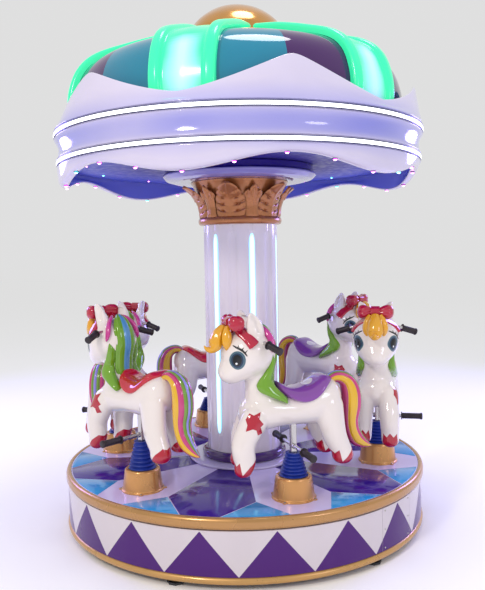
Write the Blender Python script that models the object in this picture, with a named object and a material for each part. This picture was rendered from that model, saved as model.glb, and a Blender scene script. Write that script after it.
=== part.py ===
# Small fairground carousel with six moulded ponies under a glass fibre canopy.
# Metres, +Z up, origin on the turning axis at ground level.
# An azimuth of 0 degrees points along -Y and grows towards +X.

import math

import bmesh
import bpy
from mathutils import Matrix, Vector

# Driving dimensions
GAP = 0.0003
SEGMENTS = 48
SEATS = 6
SEAT_STEP = 360 / SEATS
DECK_RADIUS = 0.952
DECK_TOP = 0.310
COLUMN_RADIUS = 0.1972
COLUMN_TOP = 1.564
CEILING_UNDERSIDE = 1.870
CANOPY_PEAK_AZIMUTH = 14.5
PONY_AZIMUTH = 17.8
PONY_RING_RADIUS = 0.720
PONY_REST_LIFT = (0.0, 0.025, -0.015, -0.030, 0.010, 0.005)

# Base
FOOT_HEIGHT = 0.024
CHASSIS_TOP = 0.070
CHASSIS_REACH = 0.912
CHASSIS_ARM_WIDTH = 0.060
CHASSIS_HUB_RADIUS = 0.110
CHASSIS_AZIMUTH = -20.0
FOOT_RADIUS = 0.040
FOOT_DISC_HEIGHT = 0.010
FOOT_STEM_RADIUS = 0.010
FOOT_STEM_SINK = 0.010
FOOT_CIRCLE_RADIUS = 0.893
FOOT_RING_TUBE = 0.017
FOOT_RING_RADIUS = 0.932
SKIRT_RADIUS = 0.942
SKIRT_WALL = 0.014
SKIRT_TOP = 0.257
PANEL_FROM = 40.8
PANEL_TO = 55.8
PANEL_SEAM = 0.06
BEARING_RADIUS = 0.090

# Deck and its rim
DECK_THICKNESS = 0.034
RIM_BOTTOM = 0.262
RIM_WIDTH = 0.026
RIM_PROUD = 0.004
RIM_BEVEL = 0.007
PLINTH_RADIUS = 0.300
PLINTH_HEIGHT = 0.012
PLINTH_BEVEL = 0.004
COLLAR_TUBE = 0.026
COLLAR_LAND = 0.004
COLLAR_TOP = 0.370
COLLAR_SEGMENTS = 24

# Column
FLUTES = 12
FLUTE_WIDTH = 0.050
FLUTE_DEPTH = 0.008
FLUTE_BOTTOM = 0.465
FLUTE_TOP = 1.517
FLUTE_END = 0.022
FLUTE_FLOOR_SHARE = 0.6

# Capital and ceiling
# A capital ring is its height above the column's top, its radius and how far the leaves wave it.
# The boss outline is (radius, height above its underside).
CAPITAL_TOP = 1.790
CAPITAL_LEAVES = 12
CAPITAL_RINGS = (
    (0.000, 0.217, 0.000), (0.030, 0.219, 0.000), (0.040, 0.209, 0.002), (0.096, 0.222, 0.006),
    (0.171, 0.275, 0.012), (0.201, 0.312, 0.016), (0.211, 0.285, 0.010),
)
CAPITAL_SEAT_RADIUS = 0.250
BOSS_OUTLINE = ((0.350, 0.000), (0.392, 0.012), (0.412, 0.034), (0.398, 0.042))
CEILING_THICKNESS = 0.015
CEILING_RADIUS = 0.9148

# Valance
# Outside and inside hold (radius, height); the lip holds (radius, height above the low edge).
VALANCE_LOW = 1.793
VALANCE_LOW_WAVE = 0.034
VALANCE_TOP_VALLEY = 2.082
VALANCE_TOP_PEAK = 2.225
VALANCE_TOP_RADIUS = 0.918
VALANCE_TOP_WALL = 0.011
VALANCE_TOP_SLOPE = 0.003
VALANCE_SWELL_RADIUS = 0.938
VALANCE_SWELL_SHARE = 0.45
VALANCE_SHOULDER_RADIUS = 0.952
VALANCE_SHOULDER_RISE = 0.008
VALANCE_WAIST = (0.936, 1.950)
VALANCE_LIP = ((0.937, 0.020), (0.922, 0.000), (0.892, 0.002), (0.896, 0.014))
VALANCE_INSIDE = ((0.912, 1.846), (0.925, 1.950), (0.939, 2.014))
VALANCE_PEAK_SHARPNESS = 1.5
BAND_HEIGHT = 0.026
BAND_LAND = 0.003
LOWER_BAND = 1.877
LOWER_BAND_RADIUS = 0.9435
UPPER_BAND = 2.014
UPPER_BAND_RADIUS = 0.9535
BAND_PROUD = 0.006

# Dome, arches and finial
DOME_WALL = 0.012
DOME_CROWN_RISE = 0.004
DOME_OUTLINE = (
    (0.840, 2.030), (0.857, 2.110), (0.852, 2.200), (0.815, 2.298),
    (0.740, 2.366), (0.600, 2.420), (0.440, 2.470), (0.300, 2.500),
)
ARCH_WIDTH = 0.290
ARCH_RAIL = 0.056
ARCH_RAIL_HEIGHT = 0.038
ARCH_RAIL_SLOPE = 0.012
ARCH_RAIL_EDGE_SHARE = 0.6
ARCH_PANEL_HEIGHT = 0.014
ARCH_CLEARANCE = 0.0013
FINIAL_OUTLINE = (
    (0.262, 0.000), (0.262, 0.038), (0.246, 0.080), (0.212, 0.126),
    (0.150, 0.172), (0.080, 0.200), (0.000, 0.210),
)

# Pony carriers
POLE_SIDE = 0.026
POLE_BELOW_DECK = 0.150
POLE_TOP = 0.390
BORE_CLEARANCE = 0.0008
DECK_HOLE_RADIUS = 0.024
CUP_OUTLINE = (
    (0.108, 0.0000), (0.108, 0.0060), (0.095, 0.0100),
    (0.084, 0.0950), (0.076, 0.1030),
)
CUP_SEGMENTS = 16
BELLOWS_TOP = 0.205
BELLOWS_FOLDS = 4
BELLOWS_SEGMENTS = 12
BELLOWS_BOTTOM_RADIUS = 0.066
BELLOWS_TOP_RADIUS = 0.036
BELLOWS_FOLD_DEPTH = 0.010
BELLOWS_BORE = 0.0190
FOOTREST_HEIGHT = 0.235
FOOTREST_HALF_LENGTH = 0.230
BAR_RADIUS = 0.009
GRIP_RADIUS = 0.0165
GRIP_LENGTH = 0.110
GRIP_STEP = 0.004
HANDLE_PLACE = (0.160, 0.716)
HANDLE_HALF_WIDTH = 0.118
HANDLE_GRIP_RUN = (-0.032, 0.078, -0.026)
HANDLE_GRIP_START = (0.12, 0.20)
HANDLE_BORE_CLEARANCE = 0.0006
BORE_OVERRUN = 0.020
SOCKET_CUT_DEPTH = 0.200

# Pony shell, as ellipsoids strung on chains in the pony's own frame:
# x forward, y to its left, z above the deck, then the three half sizes.
TORSO = (
    (-0.155, 0.000, 0.450, 0.072, 0.096, 0.088),
    (-0.100, 0.000, 0.432, 0.080, 0.104, 0.102),
    (-0.020, 0.000, 0.410, 0.080, 0.096, 0.076),
    (0.060, 0.000, 0.408, 0.080, 0.094, 0.074),
    (0.135, 0.000, 0.410, 0.080, 0.094, 0.086),
    (0.185, 0.000, 0.398, 0.066, 0.088, 0.078),
)
NECK = (
    (0.140, 0.000, 0.440, 0.085, 0.080, 0.070),
    (0.160, 0.000, 0.520, 0.060, 0.066, 0.060),
    (0.168, 0.000, 0.610, 0.069, 0.074, 0.060),
)
HEAD = (
    (0.205, 0.000, 0.668, 0.122, 0.116, 0.110),
    (0.245, 0.000, 0.630, 0.080, 0.098, 0.080),
    (0.284, 0.000, 0.594, 0.057, 0.066, 0.053),
)
MANE_RIDGE = (
    (0.126, 0.000, 0.765, 0.028, 0.030, 0.030),
    (0.104, 0.000, 0.700, 0.027, 0.034, 0.040),
    (0.110, 0.000, 0.620, 0.024, 0.036, 0.040),
    (0.118, 0.000, 0.540, 0.028, 0.038, 0.040),
    (0.106, 0.000, 0.500, 0.026, 0.034, 0.020),
)
MANE_LOBE = (
    (0.108, 0.070, 0.610, 0.020, 0.020, 0.035),
    (0.128, 0.078, 0.535, 0.045, 0.022, 0.040),
    (0.095, 0.086, 0.478, 0.040, 0.022, 0.028),
    (0.058, 0.092, 0.452, 0.014, 0.014, 0.012),
)
TAIL = (
    (-0.190, 0.000, 0.525, 0.030, 0.034, 0.026),
    (-0.258, 0.000, 0.520, 0.034, 0.042, 0.030),
    (-0.290, 0.000, 0.470, 0.036, 0.046, 0.034),
    (-0.290, 0.000, 0.400, 0.048, 0.048, 0.040),
    (-0.281, 0.000, 0.325, 0.036, 0.044, 0.036),
    (-0.300, 0.000, 0.262, 0.044, 0.038, 0.030),
    (-0.340, 0.000, 0.220, 0.038, 0.026, 0.020),
    (-0.380, 0.000, 0.200, 0.012, 0.012, 0.008),
)
FORELOCK = (
    (0.285, 0.000, 0.752, 0.048, 0.060, 0.036),
    (0.333, 0.000, 0.740, 0.034, 0.056, 0.036),
    (0.374, 0.000, 0.706, 0.018, 0.034, 0.020),
)
SADDLE = (
    (0.074, 0.000, 0.500, 0.018, 0.070, 0.036),
    (0.020, 0.000, 0.462, 0.040, 0.104, 0.050),
    (-0.045, 0.000, 0.470, 0.050, 0.106, 0.050),
    (-0.125, 0.000, 0.515, 0.045, 0.092, 0.036),
)
BOW_KNOT = ((0.285, 0.000, 0.810, 0.026, 0.030, 0.026),)
BOW_LOOP = (
    (0.290, 0.030, 0.812, 0.022, 0.018, 0.024),
    (0.284, 0.062, 0.814, 0.028, 0.024, 0.034),
)
BOW_RIBBON = (
    (0.261, 0.048, 0.778, 0.020, 0.014, 0.020),
    (0.215, 0.096, 0.716, 0.022, 0.016, 0.018),
)
EAR = (
    (0.186, 0.058, 0.752, 0.038, 0.028, 0.036),
    (0.198, 0.068, 0.790, 0.037, 0.019, 0.032),
    (0.213, 0.075, 0.824, 0.021, 0.013, 0.018),
)
LEFT_FORELEG = (
    (0.200, 0.055, 0.380, 0.062, 0.050, 0.060),
    (0.254, 0.064, 0.285, 0.054, 0.048, 0.050),
    (0.251, 0.066, 0.205, 0.048, 0.045, 0.040),
    (0.259, 0.066, 0.174, 0.040, 0.042, 0.037),
)
RIGHT_FORELEG = (
    (0.200, -0.055, 0.380, 0.062, 0.050, 0.060),
    (0.240, -0.064, 0.290, 0.054, 0.048, 0.050),
    (0.234, -0.066, 0.212, 0.048, 0.045, 0.040),
    (0.242, -0.066, 0.181, 0.040, 0.042, 0.037),
)
LEFT_HIND_LEG = (
    (-0.150, 0.055, 0.410, 0.070, 0.052, 0.070),
    (-0.172, 0.064, 0.290, 0.056, 0.050, 0.050),
    (-0.208, 0.067, 0.210, 0.048, 0.045, 0.040),
    (-0.212, 0.067, 0.188, 0.049, 0.047, 0.040),
)
RIGHT_HIND_LEG = (
    (-0.150, -0.055, 0.410, 0.070, 0.052, 0.070),
    (-0.158, -0.064, 0.300, 0.056, 0.050, 0.050),
    (-0.186, -0.067, 0.226, 0.048, 0.045, 0.040),
    (-0.190, -0.067, 0.205, 0.049, 0.047, 0.040),
)
PONY_VOXEL = 0.011
PONY_TRIANGLES = 620
BEADS_PER_LINK = 5

DECK_BOTTOM = DECK_TOP - DECK_THICKNESS
RIM_INNER_RADIUS = DECK_RADIUS - RIM_WIDTH
FOOT_RING_HEIGHT = FOOT_HEIGHT + FOOT_RING_TUBE
PLINTH_TOP = DECK_TOP + GAP + PLINTH_HEIGHT
BOSS_BOTTOM = CAPITAL_TOP + GAP
CEILING_TOP = CEILING_UNDERSIDE + CEILING_THICKNESS
CUP_TOP = DECK_TOP + GAP + CUP_OUTLINE[-1][1]


def paint(name, colour, roughness, metallic=0.0):
    material = bpy.data.materials.new(name)
    material.use_nodes = True
    shader = material.node_tree.nodes["Principled BSDF"]
    shader.inputs["Base Color"].default_value = (*colour, 1.0)
    shader.inputs["Roughness"].default_value = roughness
    shader.inputs["Metallic"].default_value = metallic
    return material


def polar(radius, azimuth, height=0.0):
    angle = math.radians(azimuth)
    return Vector((radius * math.sin(angle), -radius * math.cos(angle), height))


def seat_azimuth(seat):
    return PONY_AZIMUTH - seat * SEAT_STEP


def seat_frame(seat):
    azimuth = seat_azimuth(seat)
    place = polar(PONY_RING_RADIUS, azimuth, DECK_TOP)
    return Matrix.Translation(place) @ Matrix.Rotation(math.radians(azimuth + 180), 4, "Z")


def add_node(name, mesh, material, frame=None, smooth_angle=35):
    mesh.materials.clear()
    mesh.materials.append(material)
    mesh.shade_smooth()
    mesh.set_sharp_from_angle(angle=math.radians(smooth_angle))
    node = bpy.data.objects.new(name, mesh)
    bpy.context.scene.collection.objects.link(node)
    if frame is not None:
        node.matrix_world = frame
    return node


def mesh_from(bm, name):
    bmesh.ops.remove_doubles(bm, verts=bm.verts, dist=0.00001)
    bmesh.ops.recalc_face_normals(bm, faces=bm.faces)
    mesh = bpy.data.meshes.new(name)
    bm.to_mesh(mesh)
    bm.free()
    return mesh


def skin_rings(bm, rings, closed):
    # Rings of equally many points are joined by quads.
    # A closed stack joins its last ring to its first, an open one is capped.
    loops = [[bm.verts.new(point) for point in ring] for ring in rings]
    pairs = list(zip(loops, loops[1:]))
    if closed:
        pairs.append((loops[-1], loops[0]))
    count = len(loops[0])
    for lower, upper in pairs:
        for i in range(count):
            j = (i + 1) % count
            bm.faces.new((lower[i], lower[j], upper[j], upper[i]))
    if not closed:
        bm.faces.new(loops[0])
        bm.faces.new(loops[-1])


def turned(bm, outline, segments=SEGMENTS, start=CANOPY_PEAK_AZIMUTH, closed=False):
    # Spin an outline of (radius, height) about the vertical axis.
    points = [bm.verts.new(polar(radius, start, height)) for radius, height in outline]
    edges = [bm.edges.new(pair) for pair in zip(points, points[1:])]
    if closed:
        edges.append(bm.edges.new((points[-1], points[0])))
    bmesh.ops.spin(
        bm, geom=points + edges, cent=(0, 0, 0), axis=(0, 0, 1),
        angle=math.tau, steps=segments, use_merge=True,
    )


def turned_mesh(name, outline, segments=SEGMENTS, start=CANOPY_PEAK_AZIMUTH, closed=False):
    bm = bmesh.new()
    turned(bm, outline, segments, start, closed)
    return mesh_from(bm, name)


def swept_tube(bm, path, radii, sides):
    # Rings square to a path of points, each with its own radius.
    rings = []
    for i, point in enumerate(path):
        ahead = path[min(i + 1, len(path) - 1)]
        behind = path[max(i - 1, 0)]
        turn = (ahead - behind).to_track_quat("Z", "Y").to_matrix()
        ring = []
        for k in range(sides):
            angle = math.tau * (k + 0.5) / sides
            offset = Vector((math.cos(angle), math.sin(angle), 0)) * radii[i]
            ring.append(point + turn @ offset)
        rings.append(ring)
    skin_rings(bm, rings, closed=False)


def circle_outline(centre, height, radius, count):
    steps = [math.tau * i / count for i in range(count)]
    return [(centre + radius * math.cos(a), height + radius * math.sin(a)) for a in steps]


def arc_wall(name, azimuth_from, azimuth_to, steps):
    inner = SKIRT_RADIUS - SKIRT_WALL
    bottom = FOOT_RING_HEIGHT + FOOT_RING_TUBE + GAP
    outer = SKIRT_RADIUS
    section = ((inner, bottom), (outer, bottom), (outer, SKIRT_TOP), (inner, SKIRT_TOP))
    rings = []
    for i in range(steps + 1):
        azimuth = azimuth_from + (azimuth_to - azimuth_from) * i / steps
        rings.append([polar(radius, azimuth, height) for radius, height in section])
    bm = bmesh.new()
    skin_rings(bm, rings, closed=False)
    return mesh_from(bm, name)


def combine(target, name, tool_mesh, operation):
    tool = bpy.data.objects.new(name, tool_mesh)
    bpy.context.scene.collection.objects.link(tool)
    tool.hide_render = True
    tool.display_type = "WIRE"
    change = target.modifiers.new(name, "BOOLEAN")
    change.operation = operation
    change.object = tool
    return tool


def cut_with(target, name, tool_mesh):
    return combine(target, name, tool_mesh, "DIFFERENCE")


def join_with(target, name, tool_mesh):
    return combine(target, name, tool_mesh, "UNION")


def make_base():
    white = paint("skirt_white", (0.62, 0.58, 0.60), 0.25)
    gold = paint("gold_paint", (0.52, 0.31, 0.12), 0.32, 0.6)
    steel = paint("chassis_steel", (0.10, 0.10, 0.11), 0.5, 0.6)

    ring = circle_outline(FOOT_RING_RADIUS, FOOT_RING_HEIGHT, FOOT_RING_TUBE, 8)
    add_node("foot_ring", turned_mesh("foot_ring", ring, closed=True), gold)
    skirt_from, skirt_to = PANEL_TO + PANEL_SEAM, PANEL_FROM + 360 - PANEL_SEAM
    add_node("base_skirt", arc_wall("base_skirt", skirt_from, skirt_to, SEGMENTS - 2), white)
    add_node("access_panel", arc_wall("access_panel", PANEL_FROM, PANEL_TO, 2), white)

    # Six arms from a hub, cut from one plan outline
    bm = bmesh.new()
    outline = []
    half = CHASSIS_ARM_WIDTH / 2
    for arm in range(SEATS):
        turn = Matrix.Rotation(math.radians(CHASSIS_AZIMUTH + arm * SEAT_STEP - 90), 3, "Z")
        for along, across in ((CHASSIS_HUB_RADIUS, -half), (CHASSIS_REACH, -half),
                              (CHASSIS_REACH, half), (CHASSIS_HUB_RADIUS, half)):
            outline.append(turn @ Vector((along, across, FOOT_HEIGHT)))
    face = bm.faces.new([bm.verts.new(point) for point in outline])
    raised = bmesh.ops.extrude_face_region(bm, geom=[face])
    lifted = [item for item in raised["geom"] if isinstance(item, bmesh.types.BMVert)]
    bmesh.ops.translate(bm, verts=lifted, vec=(0, 0, CHASSIS_TOP - FOOT_HEIGHT))
    chassis = add_node("chassis", mesh_from(bm, "chassis"), steel)

    post = ((0, CHASSIS_TOP + GAP), (BEARING_RADIUS, CHASSIS_TOP + GAP),
            (BEARING_RADIUS, DECK_BOTTOM - GAP), (0, DECK_BOTTOM - GAP))
    add_node("centre_bearing", turned_mesh("centre_bearing", post, segments=24), steel)

    # A disc foot on a short stem is screwed into the end of every arm
    stem_top = CHASSIS_TOP - FOOT_STEM_SINK
    foot = ((0, 0), (FOOT_RADIUS, 0), (FOOT_RADIUS, FOOT_DISC_HEIGHT),
            (FOOT_STEM_RADIUS, FOOT_DISC_HEIGHT), (FOOT_STEM_RADIUS, stem_top), (0, stem_top))
    bm = bmesh.new()
    for arm in range(SEATS):
        known = set(bm.verts)
        turned(bm, foot, segments=8, start=0)
        fresh = [vert for vert in bm.verts if vert not in known]
        place = polar(FOOT_CIRCLE_RADIUS, CHASSIS_AZIMUTH + arm * SEAT_STEP)
        bmesh.ops.translate(bm, verts=fresh, vec=place)
    join_with(chassis, "chassis_feet", mesh_from(bm, "chassis_feet"))


def make_deck():
    deck_paint = paint("deck_paint", (0.55, 0.47, 0.80), 0.12)
    gold = paint("rim_gold", (0.50, 0.28, 0.10), 0.30, 0.6)

    bm = bmesh.new()
    edge = RIM_INNER_RADIUS - GAP
    turned(bm, ((0, DECK_BOTTOM), (edge, DECK_BOTTOM), (edge, DECK_TOP), (0, DECK_TOP)))
    deck = add_node("deck", mesh_from(bm, "deck"), deck_paint)

    # Holes for the poles, one under each seat
    bm = bmesh.new()
    for seat in range(SEATS):
        centre = Matrix.Translation(polar(PONY_RING_RADIUS, seat_azimuth(seat), DECK_TOP))
        bmesh.ops.create_cone(bm, cap_ends=True, segments=12, radius1=DECK_HOLE_RADIUS,
                              radius2=DECK_HOLE_RADIUS, depth=4 * DECK_THICKNESS, matrix=centre)
    cut_with(deck, "deck_hole_cutter", mesh_from(bm, "deck_hole_cutter"))

    top = DECK_TOP + RIM_PROUD
    bevelled = DECK_RADIUS - RIM_BEVEL
    rim = ((RIM_INNER_RADIUS, RIM_BOTTOM), (RIM_INNER_RADIUS, top), (bevelled, top),
           (DECK_RADIUS, top - RIM_BEVEL), (DECK_RADIUS, RIM_BOTTOM + RIM_BEVEL), (bevelled, RIM_BOTTOM))
    add_node("deck_rim", turned_mesh("deck_rim", rim, closed=True), gold)


def column_ring(height, depth):
    # Five points to a flute: its two edges, the two edges of its floor and the land's middle
    half = math.degrees(FLUTE_WIDTH / 2 / COLUMN_RADIUS)
    step = 360 / FLUTES
    floor = COLUMN_RADIUS - depth
    points = []
    for flute in range(FLUTES):
        centre = PONY_AZIMUTH + flute * step
        flat = half * FLUTE_FLOOR_SHARE
        for offset, radius in ((-half, COLUMN_RADIUS), (-flat, floor), (flat, floor),
                               (half, COLUMN_RADIUS), (step / 2, COLUMN_RADIUS)):
            points.append(polar(radius, centre + offset, height))
    return points


def make_column():
    shell = paint("column_paint", (0.60, 0.53, 0.68), 0.15)
    collar_paint = paint("collar_purple", (0.09, 0.03, 0.25), 0.12)

    base = DECK_TOP + GAP
    plinth = ((0, base), (PLINTH_RADIUS, base), (PLINTH_RADIUS - PLINTH_BEVEL, PLINTH_TOP), (0, PLINTH_TOP))
    add_node("column_plinth", turned_mesh("column_plinth", plinth, segments=36), shell)

    foot = PLINTH_TOP + GAP
    depths = ((foot, 0), (FLUTE_BOTTOM, 0), (FLUTE_BOTTOM + FLUTE_END, FLUTE_DEPTH),
              (FLUTE_TOP - FLUTE_END, FLUTE_DEPTH), (FLUTE_TOP, 0), (COLUMN_TOP, 0))
    rings = [column_ring(height, depth) for height, depth in depths]
    bm = bmesh.new()
    skin_rings(bm, rings, closed=False)
    add_node("column_shaft", mesh_from(bm, "column_shaft"), shell)

    # The collar's flat sides, not only its corners, clear the column
    inner = (COLUMN_RADIUS + GAP) / math.cos(math.pi / COLLAR_SEGMENTS)
    half_height = (COLLAR_TOP - foot) / 2
    middle = foot + half_height
    collar = [(inner, foot)]
    for k in range(5):
        angle = math.radians(-90 + 45 * k)
        radius = inner + COLLAR_LAND + COLLAR_TUBE * math.cos(angle)
        collar.append((radius, middle + half_height * math.sin(angle)))
    collar.append((inner, middle + half_height))
    ring = turned_mesh("column_collar", collar, COLLAR_SEGMENTS, closed=True)
    add_node("column_collar", ring, collar_paint)


def capital_ring(height, radius, leaf):
    count = CAPITAL_LEAVES * 4
    points = []
    for i in range(count):
        azimuth = CANOPY_PEAK_AZIMUTH + 360 * i / count
        wave = math.cos(math.tau * i / 4)
        points.append(polar(radius + leaf * wave, azimuth, height))
    return points


def make_capital_and_ceiling():
    copper = paint("capital_copper", (0.48, 0.24, 0.12), 0.3, 0.7)
    lavender = paint("ceiling_lavender", (0.45, 0.38, 0.72), 0.2)
    indigo = paint("ceiling_indigo", (0.10, 0.06, 0.40), 0.2)

    bottom = COLUMN_TOP + GAP
    rings = [capital_ring(bottom + height, radius, leaf) for height, radius, leaf in CAPITAL_RINGS]
    rings.append(capital_ring(CAPITAL_TOP, CAPITAL_SEAT_RADIUS, 0))
    bm = bmesh.new()
    skin_rings(bm, rings, closed=False)
    add_node("capital", mesh_from(bm, "capital"), copper)

    top = CEILING_UNDERSIDE - GAP
    boss = [(0, BOSS_BOTTOM)] + [(radius, BOSS_BOTTOM + height) for radius, height in BOSS_OUTLINE]
    boss += [(BOSS_OUTLINE[-1][0], top), (0, top)]
    add_node("ceiling_boss", turned_mesh("ceiling_boss", boss), lavender)

    sheet = ((0, CEILING_UNDERSIDE), (CEILING_RADIUS, CEILING_UNDERSIDE),
             (CEILING_RADIUS, CEILING_TOP), (0, CEILING_TOP))
    add_node("ceiling", turned_mesh("ceiling", sheet), indigo)


def from_peak(azimuth):
    # Degrees from the nearest peak of the canopy's edge, 0 to 30
    turn = (azimuth - CANOPY_PEAK_AZIMUTH) % SEAT_STEP
    return min(turn, SEAT_STEP - turn)


def valance_top(azimuth):
    share = (1 - from_peak(azimuth) / (SEAT_STEP / 2)) ** VALANCE_PEAK_SHARPNESS
    return VALANCE_TOP_VALLEY + (VALANCE_TOP_PEAK - VALANCE_TOP_VALLEY) * share


def valance_low(azimuth):
    return VALANCE_LOW + VALANCE_LOW_WAVE * math.cos(math.radians(6 * from_peak(azimuth)))


def valance_section(azimuth):
    top = valance_top(azimuth)
    low = valance_low(azimuth)
    half = BAND_HEIGHT / 2 + BAND_LAND
    shoulder = UPPER_BAND + half
    swell = shoulder + (top - shoulder) * VALANCE_SWELL_SHARE
    lip = [(radius, low + height) for radius, height in VALANCE_LIP]
    return (
        (VALANCE_TOP_RADIUS, top), (VALANCE_SWELL_RADIUS, swell),
        (VALANCE_SHOULDER_RADIUS, shoulder + VALANCE_SHOULDER_RISE),
        (UPPER_BAND_RADIUS, shoulder), (UPPER_BAND_RADIUS, UPPER_BAND - half), VALANCE_WAIST,
        (LOWER_BAND_RADIUS, LOWER_BAND + half), (LOWER_BAND_RADIUS, LOWER_BAND - half),
        *lip, *VALANCE_INSIDE, (VALANCE_TOP_RADIUS - VALANCE_TOP_WALL, top - VALANCE_TOP_SLOPE),
    )


def make_valance():
    lavender = paint("valance_lavender", (0.42, 0.38, 0.78), 0.15)
    glow = paint("band_light", (0.9, 1.0, 1.0), 0.4)

    sections = []
    for i in range(SEGMENTS):
        azimuth = CANOPY_PEAK_AZIMUTH + 360 * i / SEGMENTS
        sections.append([polar(radius, azimuth, height) for radius, height in valance_section(azimuth)])
    bm = bmesh.new()
    skin_rings(bm, sections, closed=True)
    add_node("valance", mesh_from(bm, "valance"), lavender)

    for name, radius, height in (("lower_light_band", LOWER_BAND_RADIUS, LOWER_BAND),
                                 ("upper_light_band", UPPER_BAND_RADIUS, UPPER_BAND)):
        inner = radius + GAP
        outer = inner + BAND_PROUD
        half = BAND_HEIGHT / 2
        band = ((inner, height - half), (outer, height - half * 0.5),
                (outer, height + half * 0.5), (inner, height + half))
        add_node(name, turned_mesh(name, band, closed=True), glow)


def outline_normals(outline):
    normals = []
    for i in range(len(outline)):
        ahead = Vector(outline[min(i + 1, len(outline) - 1)])
        behind = Vector(outline[max(i - 1, 0)])
        along = (ahead - behind).normalized()
        normals.append(Vector((along.y, -along.x)))
    return normals


def make_dome():
    teal = paint("dome_teal", (0.03, 0.30, 0.45), 0.1)
    mint = paint("arch_mint", (0.08, 0.88, 0.48), 0.3)
    pearl = paint("finial_pearl", (0.58, 0.30, 0.08), 0.2, 0.6)

    # A shell open below: from the crown down the outside, then up the inside
    normals = outline_normals(DOME_OUTLINE)
    inside = []
    for (radius, height), normal in zip(DOME_OUTLINE, normals):
        inside.append((radius - normal.x * DOME_WALL, height - normal.y * DOME_WALL))
    crown = DOME_OUTLINE[-1][1] + DOME_CROWN_RISE
    foot = CEILING_TOP + GAP
    wall_out = DOME_OUTLINE[0][0]
    shell = [(0, crown), *reversed(DOME_OUTLINE), (wall_out, foot)]
    shell += [(wall_out - DOME_WALL, foot), *inside[1::2], (0, crown - DOME_WALL)]
    add_node("dome", turned_mesh("dome", shell), teal)

    for arch in range(SEATS):
        centre = CANOPY_PEAK_AZIMUTH - SEAT_STEP * (arch + 0.5)
        bm = bmesh.new()
        skin_rings(bm, arch_rings(centre, normals), closed=False)
        name = f"dome_arch_{arch + 1}"
        add_node(name, mesh_from(bm, name), mint)

    seat = crown + GAP
    finial = [(0, seat)] + [(radius, seat + height) for radius, height in FINIAL_OUTLINE]
    add_node("finial", turned_mesh("finial", finial, segments=24), pearl)


def arch_rings(centre, normals):
    # The cross-section has a raised rail at each side and a lower panel between
    half = ARCH_WIDTH / 2
    rail = half - ARCH_RAIL
    high, low, slope = ARCH_RAIL_HEIGHT, ARCH_PANEL_HEIGHT, ARCH_RAIL_SLOPE
    left = ((-half, high * ARCH_RAIL_EDGE_SHARE), (-half + slope, high), (-rail - slope, high), (-rail, low))
    outer = [*left, (0.0, low), *[(-across, proud) for across, proud in reversed(left)]]
    under = [(half - ARCH_WIDTH * k / 6, ARCH_CLEARANCE) for k in range(7)]
    rings = []
    for (radius, height), normal in zip(DOME_OUTLINE, normals):
        ring = []
        for across, proud in [*outer, *under]:
            turn = math.degrees(math.asin(across / radius))
            ring.append(polar(radius + normal.x * proud, centre + turn, height + normal.y * proud))
        rings.append(ring)
    return rings


def string_beads(bm, chain, mirrored=False):
    side = -1 if mirrored else 1
    beads = []
    for start, end in zip(chain, chain[1:]):
        for k in range(BEADS_PER_LINK):
            share = k / BEADS_PER_LINK
            beads.append([a + (b - a) * share for a, b in zip(start, end)])
    beads.append(chain[-1])
    for x, y, z, half_x, half_y, half_z in beads:
        place = Matrix.Translation((x, side * y, z)) @ Matrix.Diagonal((half_x, half_y, half_z, 1))
        bmesh.ops.create_icosphere(bm, subdivisions=2, radius=1.0, matrix=place)


def evaluated_mesh(node, name):
    graph = bpy.context.evaluated_depsgraph_get()
    mesh = bpy.data.meshes.new_from_object(node.evaluated_get(graph))
    mesh.name = name
    return mesh


def handle_path():
    x, z = HANDLE_PLACE
    run = Vector(HANDLE_GRIP_RUN)
    inner = Vector((x, HANDLE_HALF_WIDTH, z))
    start, full = HANDLE_GRIP_START
    left = [inner, inner + run * start, inner + run * full, inner + run]
    radii = [BAR_RADIUS, BAR_RADIUS, GRIP_RADIUS, GRIP_RADIUS]
    right = [Vector((point.x, -point.y, point.z)) for point in reversed(left)]
    return right + left, radii[::-1] + radii


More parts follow.
